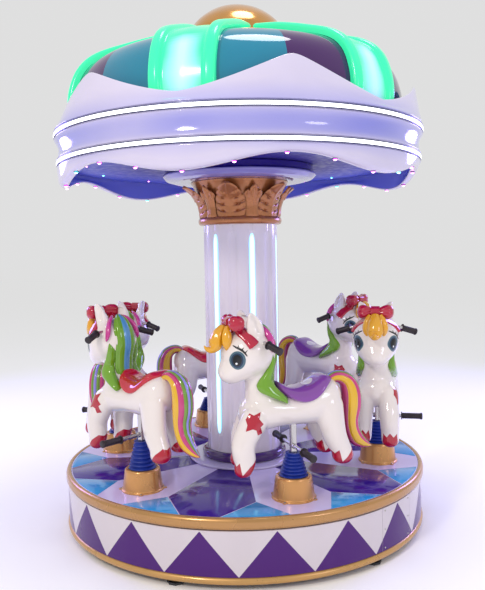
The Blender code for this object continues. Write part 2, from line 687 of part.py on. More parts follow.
def pony_shell():
    # The beads are fused by a voxel remesh, smoothed and thinned out
    bm = bmesh.new()
    for chain in (TORSO, NECK, HEAD, MANE_RIDGE, TAIL, FORELOCK, SADDLE,
                  LEFT_FORELEG, RIGHT_FORELEG, LEFT_HIND_LEG, RIGHT_HIND_LEG):
        string_beads(bm, chain)
    for chain in (EAR, MANE_LOBE, BOW_LOOP, BOW_RIBBON):
        string_beads(bm, chain)
        string_beads(bm, chain, mirrored=True)
    string_beads(bm, BOW_KNOT)
    mesh = bpy.data.meshes.new("pony_beads")
    bm.to_mesh(mesh)
    bm.free()
    work = bpy.data.objects.new("pony_beads", mesh)
    bpy.context.scene.collection.objects.link(work)
    fuse = work.modifiers.new("fuse", "REMESH")
    fuse.mode = "VOXEL"
    fuse.voxel_size = PONY_VOXEL
    calm = work.modifiers.new("calm", "SMOOTH")
    calm.factor = 0.5
    calm.iterations = 3
    fused = evaluated_mesh(work, "pony_fused")
    quads = len(fused.polygons)
    bpy.data.meshes.remove(fused)
    thin = work.modifiers.new("thin", "DECIMATE")
    thin.ratio = PONY_TRIANGLES / (2 * quads)
    # A blind socket for the pole and a cross bore for the handlebar
    bm = bmesh.new()
    side = POLE_SIDE + 2 * GAP
    middle = POLE_TOP + GAP - SOCKET_CUT_DEPTH / 2
    box = Matrix.Translation((0, 0, middle)) @ Matrix.Diagonal((side, side, SOCKET_CUT_DEPTH, 1))
    bmesh.ops.create_cube(bm, size=1.0, matrix=box)
    socket = cut_with(work, "pole_socket", mesh_from(bm, "pole_socket"))
    bm = bmesh.new()
    x, z = HANDLE_PLACE
    reach = HANDLE_HALF_WIDTH + BORE_OVERRUN
    radius = BAR_RADIUS + HANDLE_BORE_CLEARANCE
    swept_tube(bm, [Vector((x, -reach, z)), Vector((x, reach, z))], [radius, radius], 8)
    bore = cut_with(work, "handle_bore", mesh_from(bm, "handle_bore"))
    shell = evaluated_mesh(work, "pony_shell")
    for helper in (work, socket, bore):
        bpy.data.objects.remove(helper)
    return shell


def pole_mesh():
    # A square tube with the footrest bar welded through it
    bm = bmesh.new()
    low = -DECK_TOP + POLE_BELOW_DECK
    size = Matrix.Diagonal((POLE_SIDE, POLE_SIDE, POLE_TOP - low, 1))
    box = Matrix.Translation((0, 0, (low + POLE_TOP) / 2)) @ size
    bmesh.ops.create_cube(bm, size=1.0, matrix=box)
    pole = bpy.data.objects.new("pole_work", mesh_from(bm, "pole_work"))
    bpy.context.scene.collection.objects.link(pole)

    bm = bmesh.new()
    end = FOOTREST_HALF_LENGTH
    grip = end - GRIP_LENGTH
    stops = (-end, -grip, -grip + GRIP_STEP, grip - GRIP_STEP, grip, end)
    radii = (GRIP_RADIUS, GRIP_RADIUS, BAR_RADIUS, BAR_RADIUS, GRIP_RADIUS, GRIP_RADIUS)
    swept_tube(bm, [Vector((0, stop, FOOTREST_HEIGHT)) for stop in stops], radii, 8)
    bar = bpy.data.objects.new("bar_work", mesh_from(bm, "bar_work"))
    bpy.context.scene.collection.objects.link(bar)

    weld = pole.modifiers.new("weld", "BOOLEAN")
    weld.operation = "UNION"
    weld.object = bar
    mesh = evaluated_mesh(pole, "pole")
    bpy.data.objects.remove(pole)
    bpy.data.objects.remove(bar)
    return mesh


def bellows_mesh():
    low = CUP_TOP - DECK_TOP + GAP
    outline = [(BELLOWS_BORE, low)]
    steps = BELLOWS_FOLDS * 2
    for k in range(steps + 1):
        share = k / steps
        radius = BELLOWS_BOTTOM_RADIUS + (BELLOWS_TOP_RADIUS - BELLOWS_BOTTOM_RADIUS) * share
        if k % 2:
            radius -= BELLOWS_FOLD_DEPTH
        outline.append((radius, low + (BELLOWS_TOP - low) * share))
    outline.append((BELLOWS_BORE, BELLOWS_TOP))
    return turned_mesh("bellows", outline, segments=BELLOWS_SEGMENTS, closed=True)


def cup_mesh():
    # Turned outside, with a square bore that guides the pole
    half_bore = POLE_SIDE / 2 + BORE_CLEARANCE
    rings = []
    for radius, height in [(None, 0.0), *CUP_OUTLINE, (None, CUP_OUTLINE[-1][1])]:
        ring = []
        for k in range(CUP_SEGMENTS):
            turn = 360 * k / CUP_SEGMENTS
            cosine = max(abs(math.cos(math.radians(turn))), abs(math.sin(math.radians(turn))))
            reach = half_bore / cosine if radius is None else radius
            ring.append(polar(reach, turn, GAP + height))
        rings.append(ring)
    bm = bmesh.new()
    skin_rings(bm, rings, closed=True)
    return mesh_from(bm, "cup")


def make_ponies():
    coat = paint("pony_coat", (0.78, 0.70, 0.66), 0.15)
    steel = paint("pole_steel", (0.60, 0.60, 0.60), 0.3, 0.9)
    blue = paint("bellows_blue", (0.01, 0.04, 0.22), 0.45)
    black = paint("grip_black", (0.02, 0.01, 0.02), 0.5)
    shell = pony_shell()
    pole = pole_mesh()
    path, radii = handle_path()
    bm = bmesh.new()
    swept_tube(bm, path, radii, 8)
    handle = mesh_from(bm, "handlebar")
    bellows = bellows_mesh()
    cup = cup_mesh()
    gold = paint("cup_gold", (0.60, 0.34, 0.14), 0.28, 0.7)

    for seat in range(SEATS):
        frame = seat_frame(seat)
        raised = Matrix.Translation((0, 0, PONY_REST_LIFT[seat])) @ frame
        name = f"pony_{seat + 1}"
        add_node(name, shell, coat, raised)
        add_node(f"{name}_pole", pole, steel, raised)
        add_node(f"{name}_handlebar", handle, black, raised)
        add_node(f"{name}_cup", cup, gold, frame)
        low = CUP_TOP - DECK_TOP + GAP
        stretch = (BELLOWS_TOP + PONY_REST_LIFT[seat] - low) / (BELLOWS_TOP - low)
        tall = bellows.copy()
        tall.transform(Matrix.Translation((0, 0, low)) @ Matrix.Diagonal((1, 1, stretch, 1))
                       @ Matrix.Translation((0, 0, -low)))
        add_node(f"{name}_bellows", tall, blue, frame)


for old in list(bpy.data.objects):
    bpy.data.objects.remove(old)
make_base()
make_deck()
make_column()
make_capital_and_ceiling()
make_valance()
make_dome()
make_ponies()
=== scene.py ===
import math
import bmesh
import bpy
from mathutils import Matrix, Vector
from mathutils.bvhtree import BVHTree


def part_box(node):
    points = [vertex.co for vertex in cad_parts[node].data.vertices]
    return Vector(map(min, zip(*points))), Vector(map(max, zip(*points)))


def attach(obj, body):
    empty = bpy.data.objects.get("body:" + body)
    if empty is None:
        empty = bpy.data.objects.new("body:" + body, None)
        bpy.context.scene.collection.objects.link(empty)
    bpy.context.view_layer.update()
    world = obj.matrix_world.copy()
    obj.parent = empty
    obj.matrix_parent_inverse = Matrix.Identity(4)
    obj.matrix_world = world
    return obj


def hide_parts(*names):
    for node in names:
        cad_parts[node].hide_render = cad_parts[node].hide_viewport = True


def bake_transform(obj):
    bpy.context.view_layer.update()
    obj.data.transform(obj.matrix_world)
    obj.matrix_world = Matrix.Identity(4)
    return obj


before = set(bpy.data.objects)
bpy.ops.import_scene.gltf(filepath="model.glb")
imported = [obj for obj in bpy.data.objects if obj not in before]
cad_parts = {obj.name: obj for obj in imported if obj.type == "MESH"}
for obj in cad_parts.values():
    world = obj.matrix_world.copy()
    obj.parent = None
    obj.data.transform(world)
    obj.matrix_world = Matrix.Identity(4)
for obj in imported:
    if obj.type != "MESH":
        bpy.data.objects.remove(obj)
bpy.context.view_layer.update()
print("frame loaded")

# Places that everything shares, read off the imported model
seatCount = 6
seats = range(1, seatCount + 1)
sector = 360 / seatCount  # degrees from one seat to the next
peakAzimuth = 14.5  # a peak of the canopy's edge, in degrees from -Y towards +X
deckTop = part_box("deck")[1].z
weldGap = 0.00002  # corners closer than this become one
sliver = 0.000001  # an edge shorter than this is taken out


def polar(radius, azimuth, height=0.0):
    angle = math.radians(azimuth)
    return Vector((radius * math.sin(angle), -radius * math.cos(angle), height))


def azimuthOf(place):
    return math.degrees(math.atan2(place.x, -place.y))


def seatPlace(seat):
    low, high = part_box(f"pony_{seat}_cup")
    return Vector(((low.x + high.x) / 2, (low.y + high.y) / 2, deckTop))


def seatMatrix(seat, lift=0.0):
    place = seatPlace(seat) + Vector((0, 0, lift))
    turn = math.radians(azimuthOf(place) + 180)
    return Matrix.Translation(place) @ Matrix.Rotation(turn, 4, "Z")


def seatLift(seat):
    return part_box(f"pony_{seat}_pole")[1].z - deckTop - pole["top"]


# Mesh helpers
def finishMesh(bm, name, weld=weldGap):
    if weld:
        bmesh.ops.remove_doubles(bm, verts=bm.verts, dist=weld)
    bmesh.ops.recalc_face_normals(bm, faces=bm.faces)
    mesh = bpy.data.meshes.new(name)
    bm.to_mesh(mesh)
    bm.free()
    return mesh


def valuedMesh(bm, name, layerName, values):
    # Nothing is welded, so the values keep the order in which the points were made
    mesh = finishMesh(bm, name, weld=0)
    mesh.attributes.new(layerName, "FLOAT", "POINT").data.foreach_set("value", values)
    return mesh


def skinRings(bm, rings, paint=0, closed=False, hooped=True):
    # Joins each ring to the next; paint is a slot, or gives the slot for a row and a place along it
    paintOf = paint if callable(paint) else lambda row, i: paint
    loops = [[bm.verts.new(point) for point in ring] for ring in rings]
    pairs = list(zip(loops, loops[1:]))
    if closed:
        pairs.append((loops[-1], loops[0]))
    count = len(loops[0])
    for row, (lower, upper) in enumerate(pairs):
        for i in range(count if hooped else count - 1):
            j = (i + 1) % count
            bm.faces.new((lower[i], lower[j], upper[j], upper[i])).material_index = paintOf(row, i)
    if not closed:
        for loop, row in ((loops[0], 0), (loops[-1], len(pairs) - 1)):
            bm.faces.new(loop).material_index = paintOf(row, 0)


def rounded(points, radius, steps=4, closed=False):
    # Each corner of a profile becomes a short curve
    points = [Vector(point) for point in points]
    result = []
    count = len(points)
    for i, corner in enumerate(points):
        if not closed and i in (0, count - 1):
            result.append(corner)
            continue
        before = points[i - 1] - corner
        after = points[(i + 1) % count] - corner
        reach = min(radius, before.length * 0.48, after.length * 0.48)
        start = corner + before.normalized() * reach
        end = corner + after.normalized() * reach
        for k in range(steps + 1):
            t = k / steps
            result.append(start * (1 - t) ** 2 + corner * 2 * t * (1 - t) + end * t * t)
    return result


def smoothLine(points, perSpan=6):
    # A smooth curve through the points, each with any number of values
    points = [tuple(point) for point in points]
    padded = [points[0], *points, points[-1]]
    result = []
    for i in range(1, len(padded) - 2):
        for k in range(perSpan):
            t = k / perSpan
            result.append(tuple(0.5 * (2 * b + (c - a) * t + (2 * a - 5 * b + 4 * c - d) * t * t
                                       + (3 * b - a - 3 * c + d) * t ** 3)
                                for a, b, c, d in zip(*padded[i - 1:i + 3])))
    result.append(points[-1])
    return result


def fullTurn(count):
    return [math.tau * k / count for k in range(count)]


def oval(middle, halfX, halfY, count=48):
    return [(middle[0] + halfX * math.cos(angle), middle[1] + halfY * math.sin(angle))
            for angle in fullTurn(count)]


def runAt(line, i, axes=3):
    # The run of a line at one station: from the station before to the one after
    ahead, behind = line[min(i + 1, len(line) - 1)], line[max(i - 1, 0)]
    return Vector([ahead[k] - behind[k] for k in range(axes)])


def mirrored(point, side):
    return Vector((point[0], side * point[1], point[2]))


def between(first, second, share):
    return [a + (b - a) * share for a, b in zip(first, second)]


def swell(offset, width):
    # 1 in the middle, dying away over the width on each side
    return math.exp(-(offset / width) ** 2)


def turnedRings(outline, segments, start=0.0):
    # outline holds (radius, height) pairs, turned about the vertical axis
    return [[polar(point[0], start + 360 * i / segments, point[1]) for point in outline]
            for i in range(segments)]


def turnedMesh(name, outline, segments=192, closed=False, start=0.0, paint=0):
    bm = bmesh.new()
    skinRings(bm, turnedRings(outline, segments, start), paint, closed=True, hooped=closed)
    bmesh.ops.remove_doubles(bm, verts=bm.verts, dist=weldGap)
    bmesh.ops.dissolve_degenerate(bm, edges=bm.edges, dist=sliver)
    return finishMesh(bm, name)


def tube(bm, path, radii, sides=24):
    path = [Vector(point) for point in path]
    rings = []
    for i, (point, radius) in enumerate(zip(path, radii)):
        turn = runAt(path, i).to_track_quat("Z", "Y").to_matrix()
        rings.append([point + turn @ (Vector((x, y, 0)) * radius) for x, y in oval((0, 0), 1, 1, sides)])
    skinRings(bm, rings)


def addPiece(name, mesh, body, materials, replaced=(), matrix=None, sharp=38):
    if not mesh.materials:
        for material in materials:
            mesh.materials.append(material)
        mesh.shade_smooth()
        mesh.set_sharp_from_angle(angle=math.radians(sharp))
    piece = bpy.data.objects.new(name, mesh)
    bpy.context.scene.collection.objects.link(piece)
    if matrix is not None:
        piece.matrix_world = matrix
    if body:
        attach(piece, body)
    if replaced:
        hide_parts(*replaced)
    return piece


def turnedPiece(name, outline, slotName, materials, replaced, body="turntable", sharp=38, **shape):
    addPiece(name, turnedMesh(name, outline, **shape), body, materials, replaced, sharp=sharp)


# Material helpers
def srgb(text):
    values = [int(text[i:i + 2], 16) / 255 for i in (0, 2, 4)]
    return [v / 12.92 if v <= 0.04045 else ((v + 0.055) / 1.055) ** 2.4 for v in values]


def blankMaterial(name):
    material = bpy.data.materials.new(name)
    material.use_nodes = True
    tree = material.node_tree
    return material, tree, tree.nodes["Principled BSDF"]


def feed(tree, socket, value):
    if isinstance(value, bpy.types.NodeSocket):
        tree.links.new(value, socket)
    elif isinstance(value, (list, tuple)) and len(value) == 3 and len(socket.default_value) == 4:
        socket.default_value = (*value, 1.0)
    else:
        socket.default_value = value


def feedAll(tree, shader, values):
    for name, value in values.items():
        feed(tree, shader.inputs[name], value)


def calc(tree, operation, *values, clamp=False):
    node = tree.nodes.new("ShaderNodeMath")
    node.operation = operation
    node.use_clamp = clamp
    for socket, value in zip(node.inputs, values):
        feed(tree, socket, value)
    return node.outputs[0]


def mixColour(tree, share, first, second):
    node = tree.nodes.new("ShaderNodeMix")
    node.data_type = "RGBA"
    feed(tree, node.inputs[0], share)
    feed(tree, node.inputs[6], first)
    feed(tree, node.inputs[7], second)
    return node.outputs[2]


def objectPlace(tree):
    return tree.nodes.new("ShaderNodeTexCoord").outputs["Object"]


def noise(tree, place, scale, detail=2.0, stretch=None):
    if stretch:
        mapping = tree.nodes.new("ShaderNodeMapping")
        mapping.inputs["Scale"].default_value = stretch
        tree.links.new(place, mapping.inputs["Vector"])
        place = mapping.outputs["Vector"]
    node = tree.nodes.new("ShaderNodeTexNoise")
    node.inputs["Scale"].default_value = scale
    node.inputs["Detail"].default_value = detail
    tree.links.new(place, node.inputs["Vector"])
    return node.outputs["Fac"]


def spread(tree, value, low, high, fromLow=0.3, fromHigh=0.7):
    node = tree.nodes.new("ShaderNodeMapRange")
    for name, amount in (("Value", value), ("From Min", fromLow), ("From Max", fromHigh),
                         ("To Min", low), ("To Max", high)):
        feed(tree, node.inputs[name], amount)
    return node.outputs["Result"]


def bump(tree, height, strength, distance, under=None):
    node = tree.nodes.new("ShaderNodeBump")
    node.inputs["Strength"].default_value = strength
    node.inputs["Distance"].default_value = distance
    tree.links.new(height, node.inputs["Height"])
    if under:
        tree.links.new(under, node.inputs["Normal"])
    return node.outputs["Normal"]


def tones(colour, drift):
    darker = [v * (1 - drift) for v in colour]
    lighter = [min(1.0, v * (1 + drift)) for v in colour]
    return darker, lighter


def gelcoat(name, colour, roughness=0.10, drift=0.06, wave=0.10, peel=0.05, coat=0.6, shine=0.5,
            paint=None):
    # Sprayed, polished surface over a hand-laid moulding: faint clouding, slow waves and fine orange peel
    material, tree, shader = blankMaterial(name)
    place = objectPlace(tree)
    tint = mixColour(tree, noise(tree, place, 4.5, 4), *tones(srgb(colour), drift))
    if paint:
        tint = paint(tree, place, tint)
    slow = bump(tree, noise(tree, place, 11, 1), wave, 0.004)
    feedAll(tree, shader, {
        "Base Color": tint,
        "Roughness": spread(tree, noise(tree, place, 27, 3), roughness * 0.7, roughness * 1.6),
        "Normal": bump(tree, noise(tree, place, 240, 2), peel, 0.0006, slow),
        "Specular IOR Level": shine, "Coat Weight": coat, "Coat Roughness": 0.03})
    return material


def metalPaint(name, colour, roughness=0.28, metallic=0.75, grain=None, drift=0.12, coat=0.3):
    # Paint with metal flake: tone and roughness drift together, the flake shows as fine sparkle
    material, tree, shader = blankMaterial(name)
    place = objectPlace(tree)
    cloud, flake = noise(tree, place, 9, 5, grain), noise(tree, place, 900, 1)
    share = calc(tree, "ADD", calc(tree, "MULTIPLY", cloud, 0.75), calc(tree, "MULTIPLY", flake, 0.25))
    slow = bump(tree, noise(tree, place, 14, 2), 0.10, 0.003)
    feedAll(tree, shader, {
        "Base Color": mixColour(tree, share, *tones(srgb(colour), drift)),
        "Roughness": spread(tree, cloud, roughness * 0.75, roughness * 1.5),
        "Normal": bump(tree, flake, 0.08, 0.0004, slow),
        "Metallic": metallic, "Coat Weight": coat, "Coat Roughness": 0.08})
    return material


def rubber(name, colour, roughness=0.5, scale=120):
    material, tree, shader = blankMaterial(name)
    place = objectPlace(tree)
    cloud = noise(tree, place, 22, 4)
    feedAll(tree, shader, {
        "Base Color": mixColour(tree, cloud, *tones(srgb(colour), 0.25)),
        "Roughness": spread(tree, cloud, roughness * 0.8, roughness * 1.25),
        "Normal": bump(tree, noise(tree, place, scale, 3), 0.22, 0.0006)})
    return material


def attributeOf(tree, name):
    node = tree.nodes.new("ShaderNodeAttribute")
    node.attribute_name = name
    return node.outputs["Fac"]


def splitPlace(tree, place):
    node = tree.nodes.new("ShaderNodeSeparateXYZ")
    tree.links.new(place, node.inputs[0])
    return node.outputs


def reachOf(tree, x, y):
    return calc(tree, "SQRT", calc(tree, "MULTIPLY_ADD", x, x, calc(tree, "MULTIPLY", y, y)))


def glow(name, core, edge, strength, attribute=None, roughness=0.25, coat=0.3):
    # A lit diffuser: core colour where the attribute is 1, edge colour where it is 0
    material, tree, shader = blankMaterial(name)
    cloud = noise(tree, objectPlace(tree), 16, 2)
    share = attributeOf(tree, attribute) if attribute else spread(tree, cloud, 0.75, 1.0)
    colour = mixColour(tree, share, srgb(edge), srgb(core))
    feedAll(tree, shader, {
        "Base Color": colour, "Emission Color": colour, "Emission Strength": strength,
        "Roughness": spread(tree, cloud, roughness * 0.8, roughness * 1.2),
        "Coat Weight": coat, "Coat Roughness": 0.06})
    return material


# Shares of a screw's radius and height: its dome from the skirt up, then its six-sided socket
screw = {
    "tall": 0.55, "dome": ((1.0, -0.3), (1.0, 0.0), (0.92, 0.45), (0.72, 0.82), (0.55, 1.0)),
    "socket": 0.36, "socketLevels": (1.0, 0.35), "sides": 24,
}


def screwInto(bm, matrix, radius, paint=0):
    # Its top faces up the local Z
    height = radius * screw["tall"]
    rings = []
    for share, level in screw["dome"]:
        reach = radius * share
        rings.append([Vector((x, y, height * level)) for x, y in oval((0, 0), reach, reach, screw["sides"])])
    for level in screw["socketLevels"]:
        ring = []
        for angle in fullTurn(screw["sides"]):
            flat = (angle % (math.tau / 6)) - math.tau / 12
            reach = radius * screw["socket"] / math.cos(flat)
            ring.append(Vector((reach * math.cos(angle), reach * math.sin(angle), height * level)))
        rings.append(ring)
    skinRings(bm, [[matrix @ point for point in ring] for ring in rings], paint)


# Base: ring, skirt, access panel, chassis
base = {
    "ringRadius": 0.932, "ringTube": 0.0168, "ringGold": "C79A5C",
    "skirtRadius": 0.942, "skirtWall": 0.014, "skirtLip": 0.0012, "white": "D2C9CE", "purple": "48126E",
    "triangles": 18, "firstCorner": -2.0, "topMargin": 0.004,
    "panelFrom": 40.8, "panelTo": 55.8, "panelSeam": 0.10,
    "screwRadius": 0.0042, "screwTurn": 1.1, "screwMargin": 0.014,
    "screwSteel": "B9B6B2", "chassisSteel": "3A3B3F",
}


def skirtMesh(name, azimuthFrom, azimuthTo, low, high):
    # The wall is cut along the edge of every triangle, so the two colours meet on a clean line
    outer, lip = base["skirtRadius"], base["skirtLip"]
    inner = outer - base["skirtWall"]
    step = 360 / base["triangles"]
    stops = {azimuthFrom, azimuthTo}
    corner = base["firstCorner"]
    while corner < azimuthTo:
        stops.update(corner + k for k in range(int(step)) if azimuthFrom < corner + k < azimuthTo)
        corner += step
    tallest = high - base["topMargin"] - low - lip
    rings = []
    for azimuth in sorted(stops):
        along = ((azimuth - base["firstCorner"]) % step) / step
        edge = low + lip + tallest * (1 - abs(2 * along - 1))
        profile = ((inner, low), (outer - lip, low), (outer, low + lip), (outer, edge), (outer, high - lip),
                   (outer - lip, high), (inner, high))
        rings.append([polar(radius, azimuth, height) for radius, height in profile])
    bm = bmesh.new()
    skinRings(bm, rings, lambda row, i: 1 if i in (1, 2) else 0)
    bmesh.ops.dissolve_degenerate(bm, edges=bm.edges, dist=sliver * 10)
    return finishMesh(bm, name)


def makeBase():
    low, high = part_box("foot_ring")
    gold = metalPaint("base ring gold", base["ringGold"], 0.30, 0.55)
    outline = oval((base["ringRadius"], (low.z + high.z) / 2), base["ringTube"], base["ringTube"], 24)
    turnedPiece("base_ring", outline, "gold_trim", [gold], ["foot_ring"], "base", closed=True)

    white = gelcoat("skirt white", base["white"], 0.16, coat=0.2, shine=0.35)
    purple = gelcoat("skirt purple", base["purple"], 0.16, coat=0.15, shine=0.3)
    low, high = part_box("base_skirt")
    seam = base["panelSeam"]
    for name, start, end, node in (
            ("skirt_wall", base["panelTo"] + seam, base["panelFrom"] + 360 - seam, "base_skirt"),
            ("access_cover", base["panelFrom"], base["panelTo"], "access_panel")):
        addPiece(name, skirtMesh(name, start, end, low.z, high.z), "base", [white, purple],
                 [node], sharp=30)

    steel = metalPaint("screw steel", base["screwSteel"], 0.25, 0.95)
    turn, margin = base["screwTurn"], base["screwMargin"]
    bm = bmesh.new()
    for azimuth in (base["panelFrom"] + turn, base["panelTo"] - turn):
        for height in (low.z + margin, (low.z + high.z) / 2, high.z - margin):
            facing = polar(1, azimuth).to_track_quat("Z", "Y").to_matrix().to_4x4()
            place = Matrix.Translation(polar(base["skirtRadius"], azimuth, height))
            screwInto(bm, place @ facing, base["screwRadius"])
    addPiece("access_screws", finishMesh(bm, "access_screws"), "base", [steel])

    for node in ("chassis", "centre_bearing"):
        material = metalPaint(f"{node} paint", base["chassisSteel"], 0.42, 0.5)
        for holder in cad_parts[node].material_slots:
            holder.material = material
    print("base made")


# Deck: base disc, painted panels, rim, cups
deck = {
    "white": "CFC4EC", "purple": "3C1C88", "blue": "2F98DA", "gold": "B88A54",
    "rimWidth": 0.0263, "rimGap": 0.0003, "holeRadius": 0.024,
    # The panels: how deep they sit, how high they stand and the slope of their edge
    "sink": 0.002, "raise": 0.0010, "slope": 0.0008, "line": 0.0022,
    "panelInner": 0.292, "panelOuter": 0.745, "panelEdge": 0.9235, "panelHalf": 16.0, "tipHalf": 5.5,
    "cupGold": "D29A5E", "cupSteel": "A8A29C", "cupGap": 0.0003,
    "cupRadii": ((0.1015, 0.0), (0.1015, 0.0050), (0.0955, 0.0075), (0.0940, 0.0120), (0.0835, 0.0930),
                 (0.0810, 0.0990), (0.0760, 0.1024), (0.0700, 0.1024), (0.0690, 0.0990), (0.0200, 0.0990)),
    "earReach": 0.1130, "earHalf": 0.0105, "earHeight": 0.0046, "earRoot": 0.094, "earSlope": 0.0012,
    "boltRadius": 0.0052,
}


def arcPoints(radius, azimuthFrom, azimuthTo, step=1.5):
    count = max(1, round(abs(azimuthTo - azimuthFrom) / step))
    return [polar(radius, azimuthFrom + (azimuthTo - azimuthFrom) * k / count) for k in range(count + 1)]


def inset(points, amount):
    # Move every side of a flat outline inwards by the same amount
    count = len(points)
    area = sum(points[i].x * points[(i + 1) % count].y - points[(i + 1) % count].x * points[i].y
               for i in range(count))
    side = 1 if area > 0 else -1
    result = []
    for i in range(count):
        before = (points[i] - points[i - 1]).normalized()
        after = (points[(i + 1) % count] - points[i]).normalized()
        normal = Vector((-(before.y + after.y), before.x + after.x, 0)).normalized()
        lean = max(0.35, abs(normal.x * -after.y + normal.y * after.x))
        result.append(points[i] + normal * side * amount / lean)
    return result


def plate(bm, outline, low, high, slope, paint):
    # A flat plate with a small slope all round its top edge
    rings = []
    for pull, height in ((0.0, low), (0.0, high - slope * 0.6), (slope, high)):
        flat = inset(outline, pull) if pull else outline
        rings.append([Vector((point.x, point.y, height)) for point in flat])
    skinRings(bm, rings, paint)


def raisedPanel(bm, outline, paint):
    low, high = deckTop - deck["sink"], deckTop + deck["raise"]
    plate(bm, inset(outline, deck["line"]), low, high, deck["slope"], paint)


def makeDeck():
    white = gelcoat("deck white", deck["white"], 0.14, wave=0.01, peel=0.02, coat=0.15, shine=0.3)
    purple, blue = [gelcoat(f"deck {name}", deck[name], 0.12, wave=0.01, peel=0.02, coat=0.2, shine=0.3)
                    for name in ("purple", "blue")]
    low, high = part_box("deck")
    rimLow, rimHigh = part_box("deck_rim")
    edge = rimHigh.x - deck["rimWidth"]
    outlines = [[(point.x, point.y) for point in arcPoints(edge, 0, 360)[:-1]]]
    for seat in seats:
        centre = seatPlace(seat)
        outlines.append(oval((centre.x, centre.y), deck["holeRadius"], deck["holeRadius"], 32))
    bm = bmesh.new()
    levels = []
    for level in (low.z, high.z):
        loops = [[bm.verts.new((x, y, level)) for x, y in outline] for outline in outlines]
        edges = [bm.edges.new((loop[i], loop[(i + 1) % len(loop)]))
                 for loop in loops for i in range(len(loop))]
        bmesh.ops.triangle_fill(bm, edges=edges, use_beauty=True)
        levels.append(loops)
    for lower, upper in zip(*levels):
        for i in range(len(lower)):
            j = (i + 1) % len(lower)
            bm.faces.new((lower[i], lower[j], upper[j], upper[i]))
    addPiece("deck_floor", finishMesh(bm, "deck_floor"), "turntable", [white], ["deck"])

    bm = bmesh.new()
    half, tip = deck["panelHalf"], deck["tipHalf"]
    for seat in seats:
        centre = azimuthOf(seatPlace(seat)) - sector / 2
        raisedPanel(bm, [polar(deck["panelOuter"], centre - half),
                         *arcPoints(deck["panelEdge"], centre - tip, centre + tip),
                         polar(deck["panelOuter"], centre + half),
                         *arcPoints(deck["panelInner"], centre + half, centre - half)], 0)
        for side in (-1, 1):
            outer = arcPoints(deck["panelEdge"], centre + side * tip, centre + side * (sector / 2 - tip))
            raisedPanel(bm, [polar(deck["panelOuter"], centre + side * half), *outer], 1)
    addPiece("deck_panels", finishMesh(bm, "deck_panels"), "turntable", [purple, blue])

    gold = metalPaint("rim gold", deck["gold"], 0.26, 0.6)
    inner, outer = edge + deck["rimGap"], rimHigh.x
    profile = [(inner, rimLow.z), (inner, rimHigh.z), (outer - 0.010, rimHigh.z),
               (outer, rimHigh.z - 0.012), (outer, rimLow.z + 0.010), (outer - 0.008, rimLow.z)]
    turnedPiece("deck_edge", rounded(profile, 0.009, 5, closed=True), "gold_trim", [gold], ["deck_rim"],
                closed=True)
    print("deck made")


def makeCups():
    gold = metalPaint("cup gold", deck["cupGold"], 0.26, 0.62)
    steel = metalPaint("cup screw steel", deck["cupSteel"], 0.3, 0.9)
    gap, half = deck["cupGap"], deck["earHalf"]
    middle = deck["earReach"] - half
    outline = [(radius, height + gap) for radius, height in rounded(deck["cupRadii"], 0.004, 4)]
    outline.append((deck["cupRadii"][-1][0], gap))
    bm = bmesh.new()
    skinRings(bm, turnedRings(outline, 96), closed=True)
    angles = [math.radians(-90 + 15 * k) for k in range(13)]
    ear = [Vector((middle + half * math.cos(angle), half * math.sin(angle), 0)) for angle in angles]
    ear += [Vector((deck["earRoot"], side * half * 1.3, 0)) for side in (1, -1)]
    for azimuth in (45, 135, 225, 315):
        turn = Matrix.Rotation(math.radians(azimuth - 90), 3, "Z")
        plate(bm, [turn @ point for point in ear], gap, deck["earHeight"], deck["earSlope"], 0)
        screwInto(bm, Matrix.Translation(polar(middle, azimuth, deck["earHeight"])), deck["boltRadius"], 1)
    mesh = finishMesh(bm, "cup_shell")
    for seat in seats:
        addPiece(f"cup_{seat}", mesh, "turntable", [gold, steel], [f"pony_{seat}_cup"],
                 seatMatrix(seat))
    print("cups made")


# Column: plinth, collar, fluted shaft, light bars, capital
column = {
    "white": "E8E0EC", "plinthWhite": "CFC6EA", "collarPurple": "42186A",
    "radius": 0.1972, "flutes": 12, "half": 0.0245, "depth": 0.0080, "fluteTip": 0.0008,
    "fluteLow": 0.450, "fluteHigh": 1.530, "taper": 0.075, "taperSteps": 14, "middleSteps": 40,
    "barHalf": 0.0175, "barInset": 0.010, "barTip": 0.0006, "barProud": 0.0058, "barLift": 0.0012,
    "barBack": 0.002, "barCore": "BFF0FA", "barEdge": "28A8F0", "barPower": 1.25,
}


def taperedHalf(height, low, high, half, taper):
    # Half width of a flute or bar, drawn in to a blunt point at both ends
    end = min(height - low, high - height)
    if end <= 0:
        return 0.0
    share = min(1.0, end / taper)
    return half * (1 - (1 - share) ** 2) ** 0.5


def fluteHeights(low, high):
    # Closer together towards both ends
    taper, steps, middle = column["taper"], column["taperSteps"], column["middleSteps"]
    heights = [low + taper * (k / steps) ** 2 for k in range(steps + 1)]
    heights += [low + taper + (high - low - 2 * taper) * k / middle for k in range(1, middle)]
    return heights + [high - taper * (k / steps) ** 2 for k in range(steps, -1, -1)]


def columnRing(height):
    radius, step = column["radius"], 360 / column["flutes"]
    half = taperedHalf(height, column["fluteLow"], column["fluteHigh"], column["half"], column["taper"])
    half = math.degrees(max(half, column["fluteTip"]) / radius)
    fullness = min(1.0, half / math.degrees(column["half"] / radius))
    points = []
    for flute in range(column["flutes"]):
        centre = azimuthOf(seatPlace(1)) + flute * step
        for k in range(-6, 7):
            across = k / 6
            sink = (1 - abs(across) ** 3.2) * column["depth"] * fullness
            points.append(polar(radius - sink, centre + across * half, height))
        for k in range(1, 4):
            points.append(polar(radius, centre + half + (step - 2 * half) * k / 4, height))
    return points


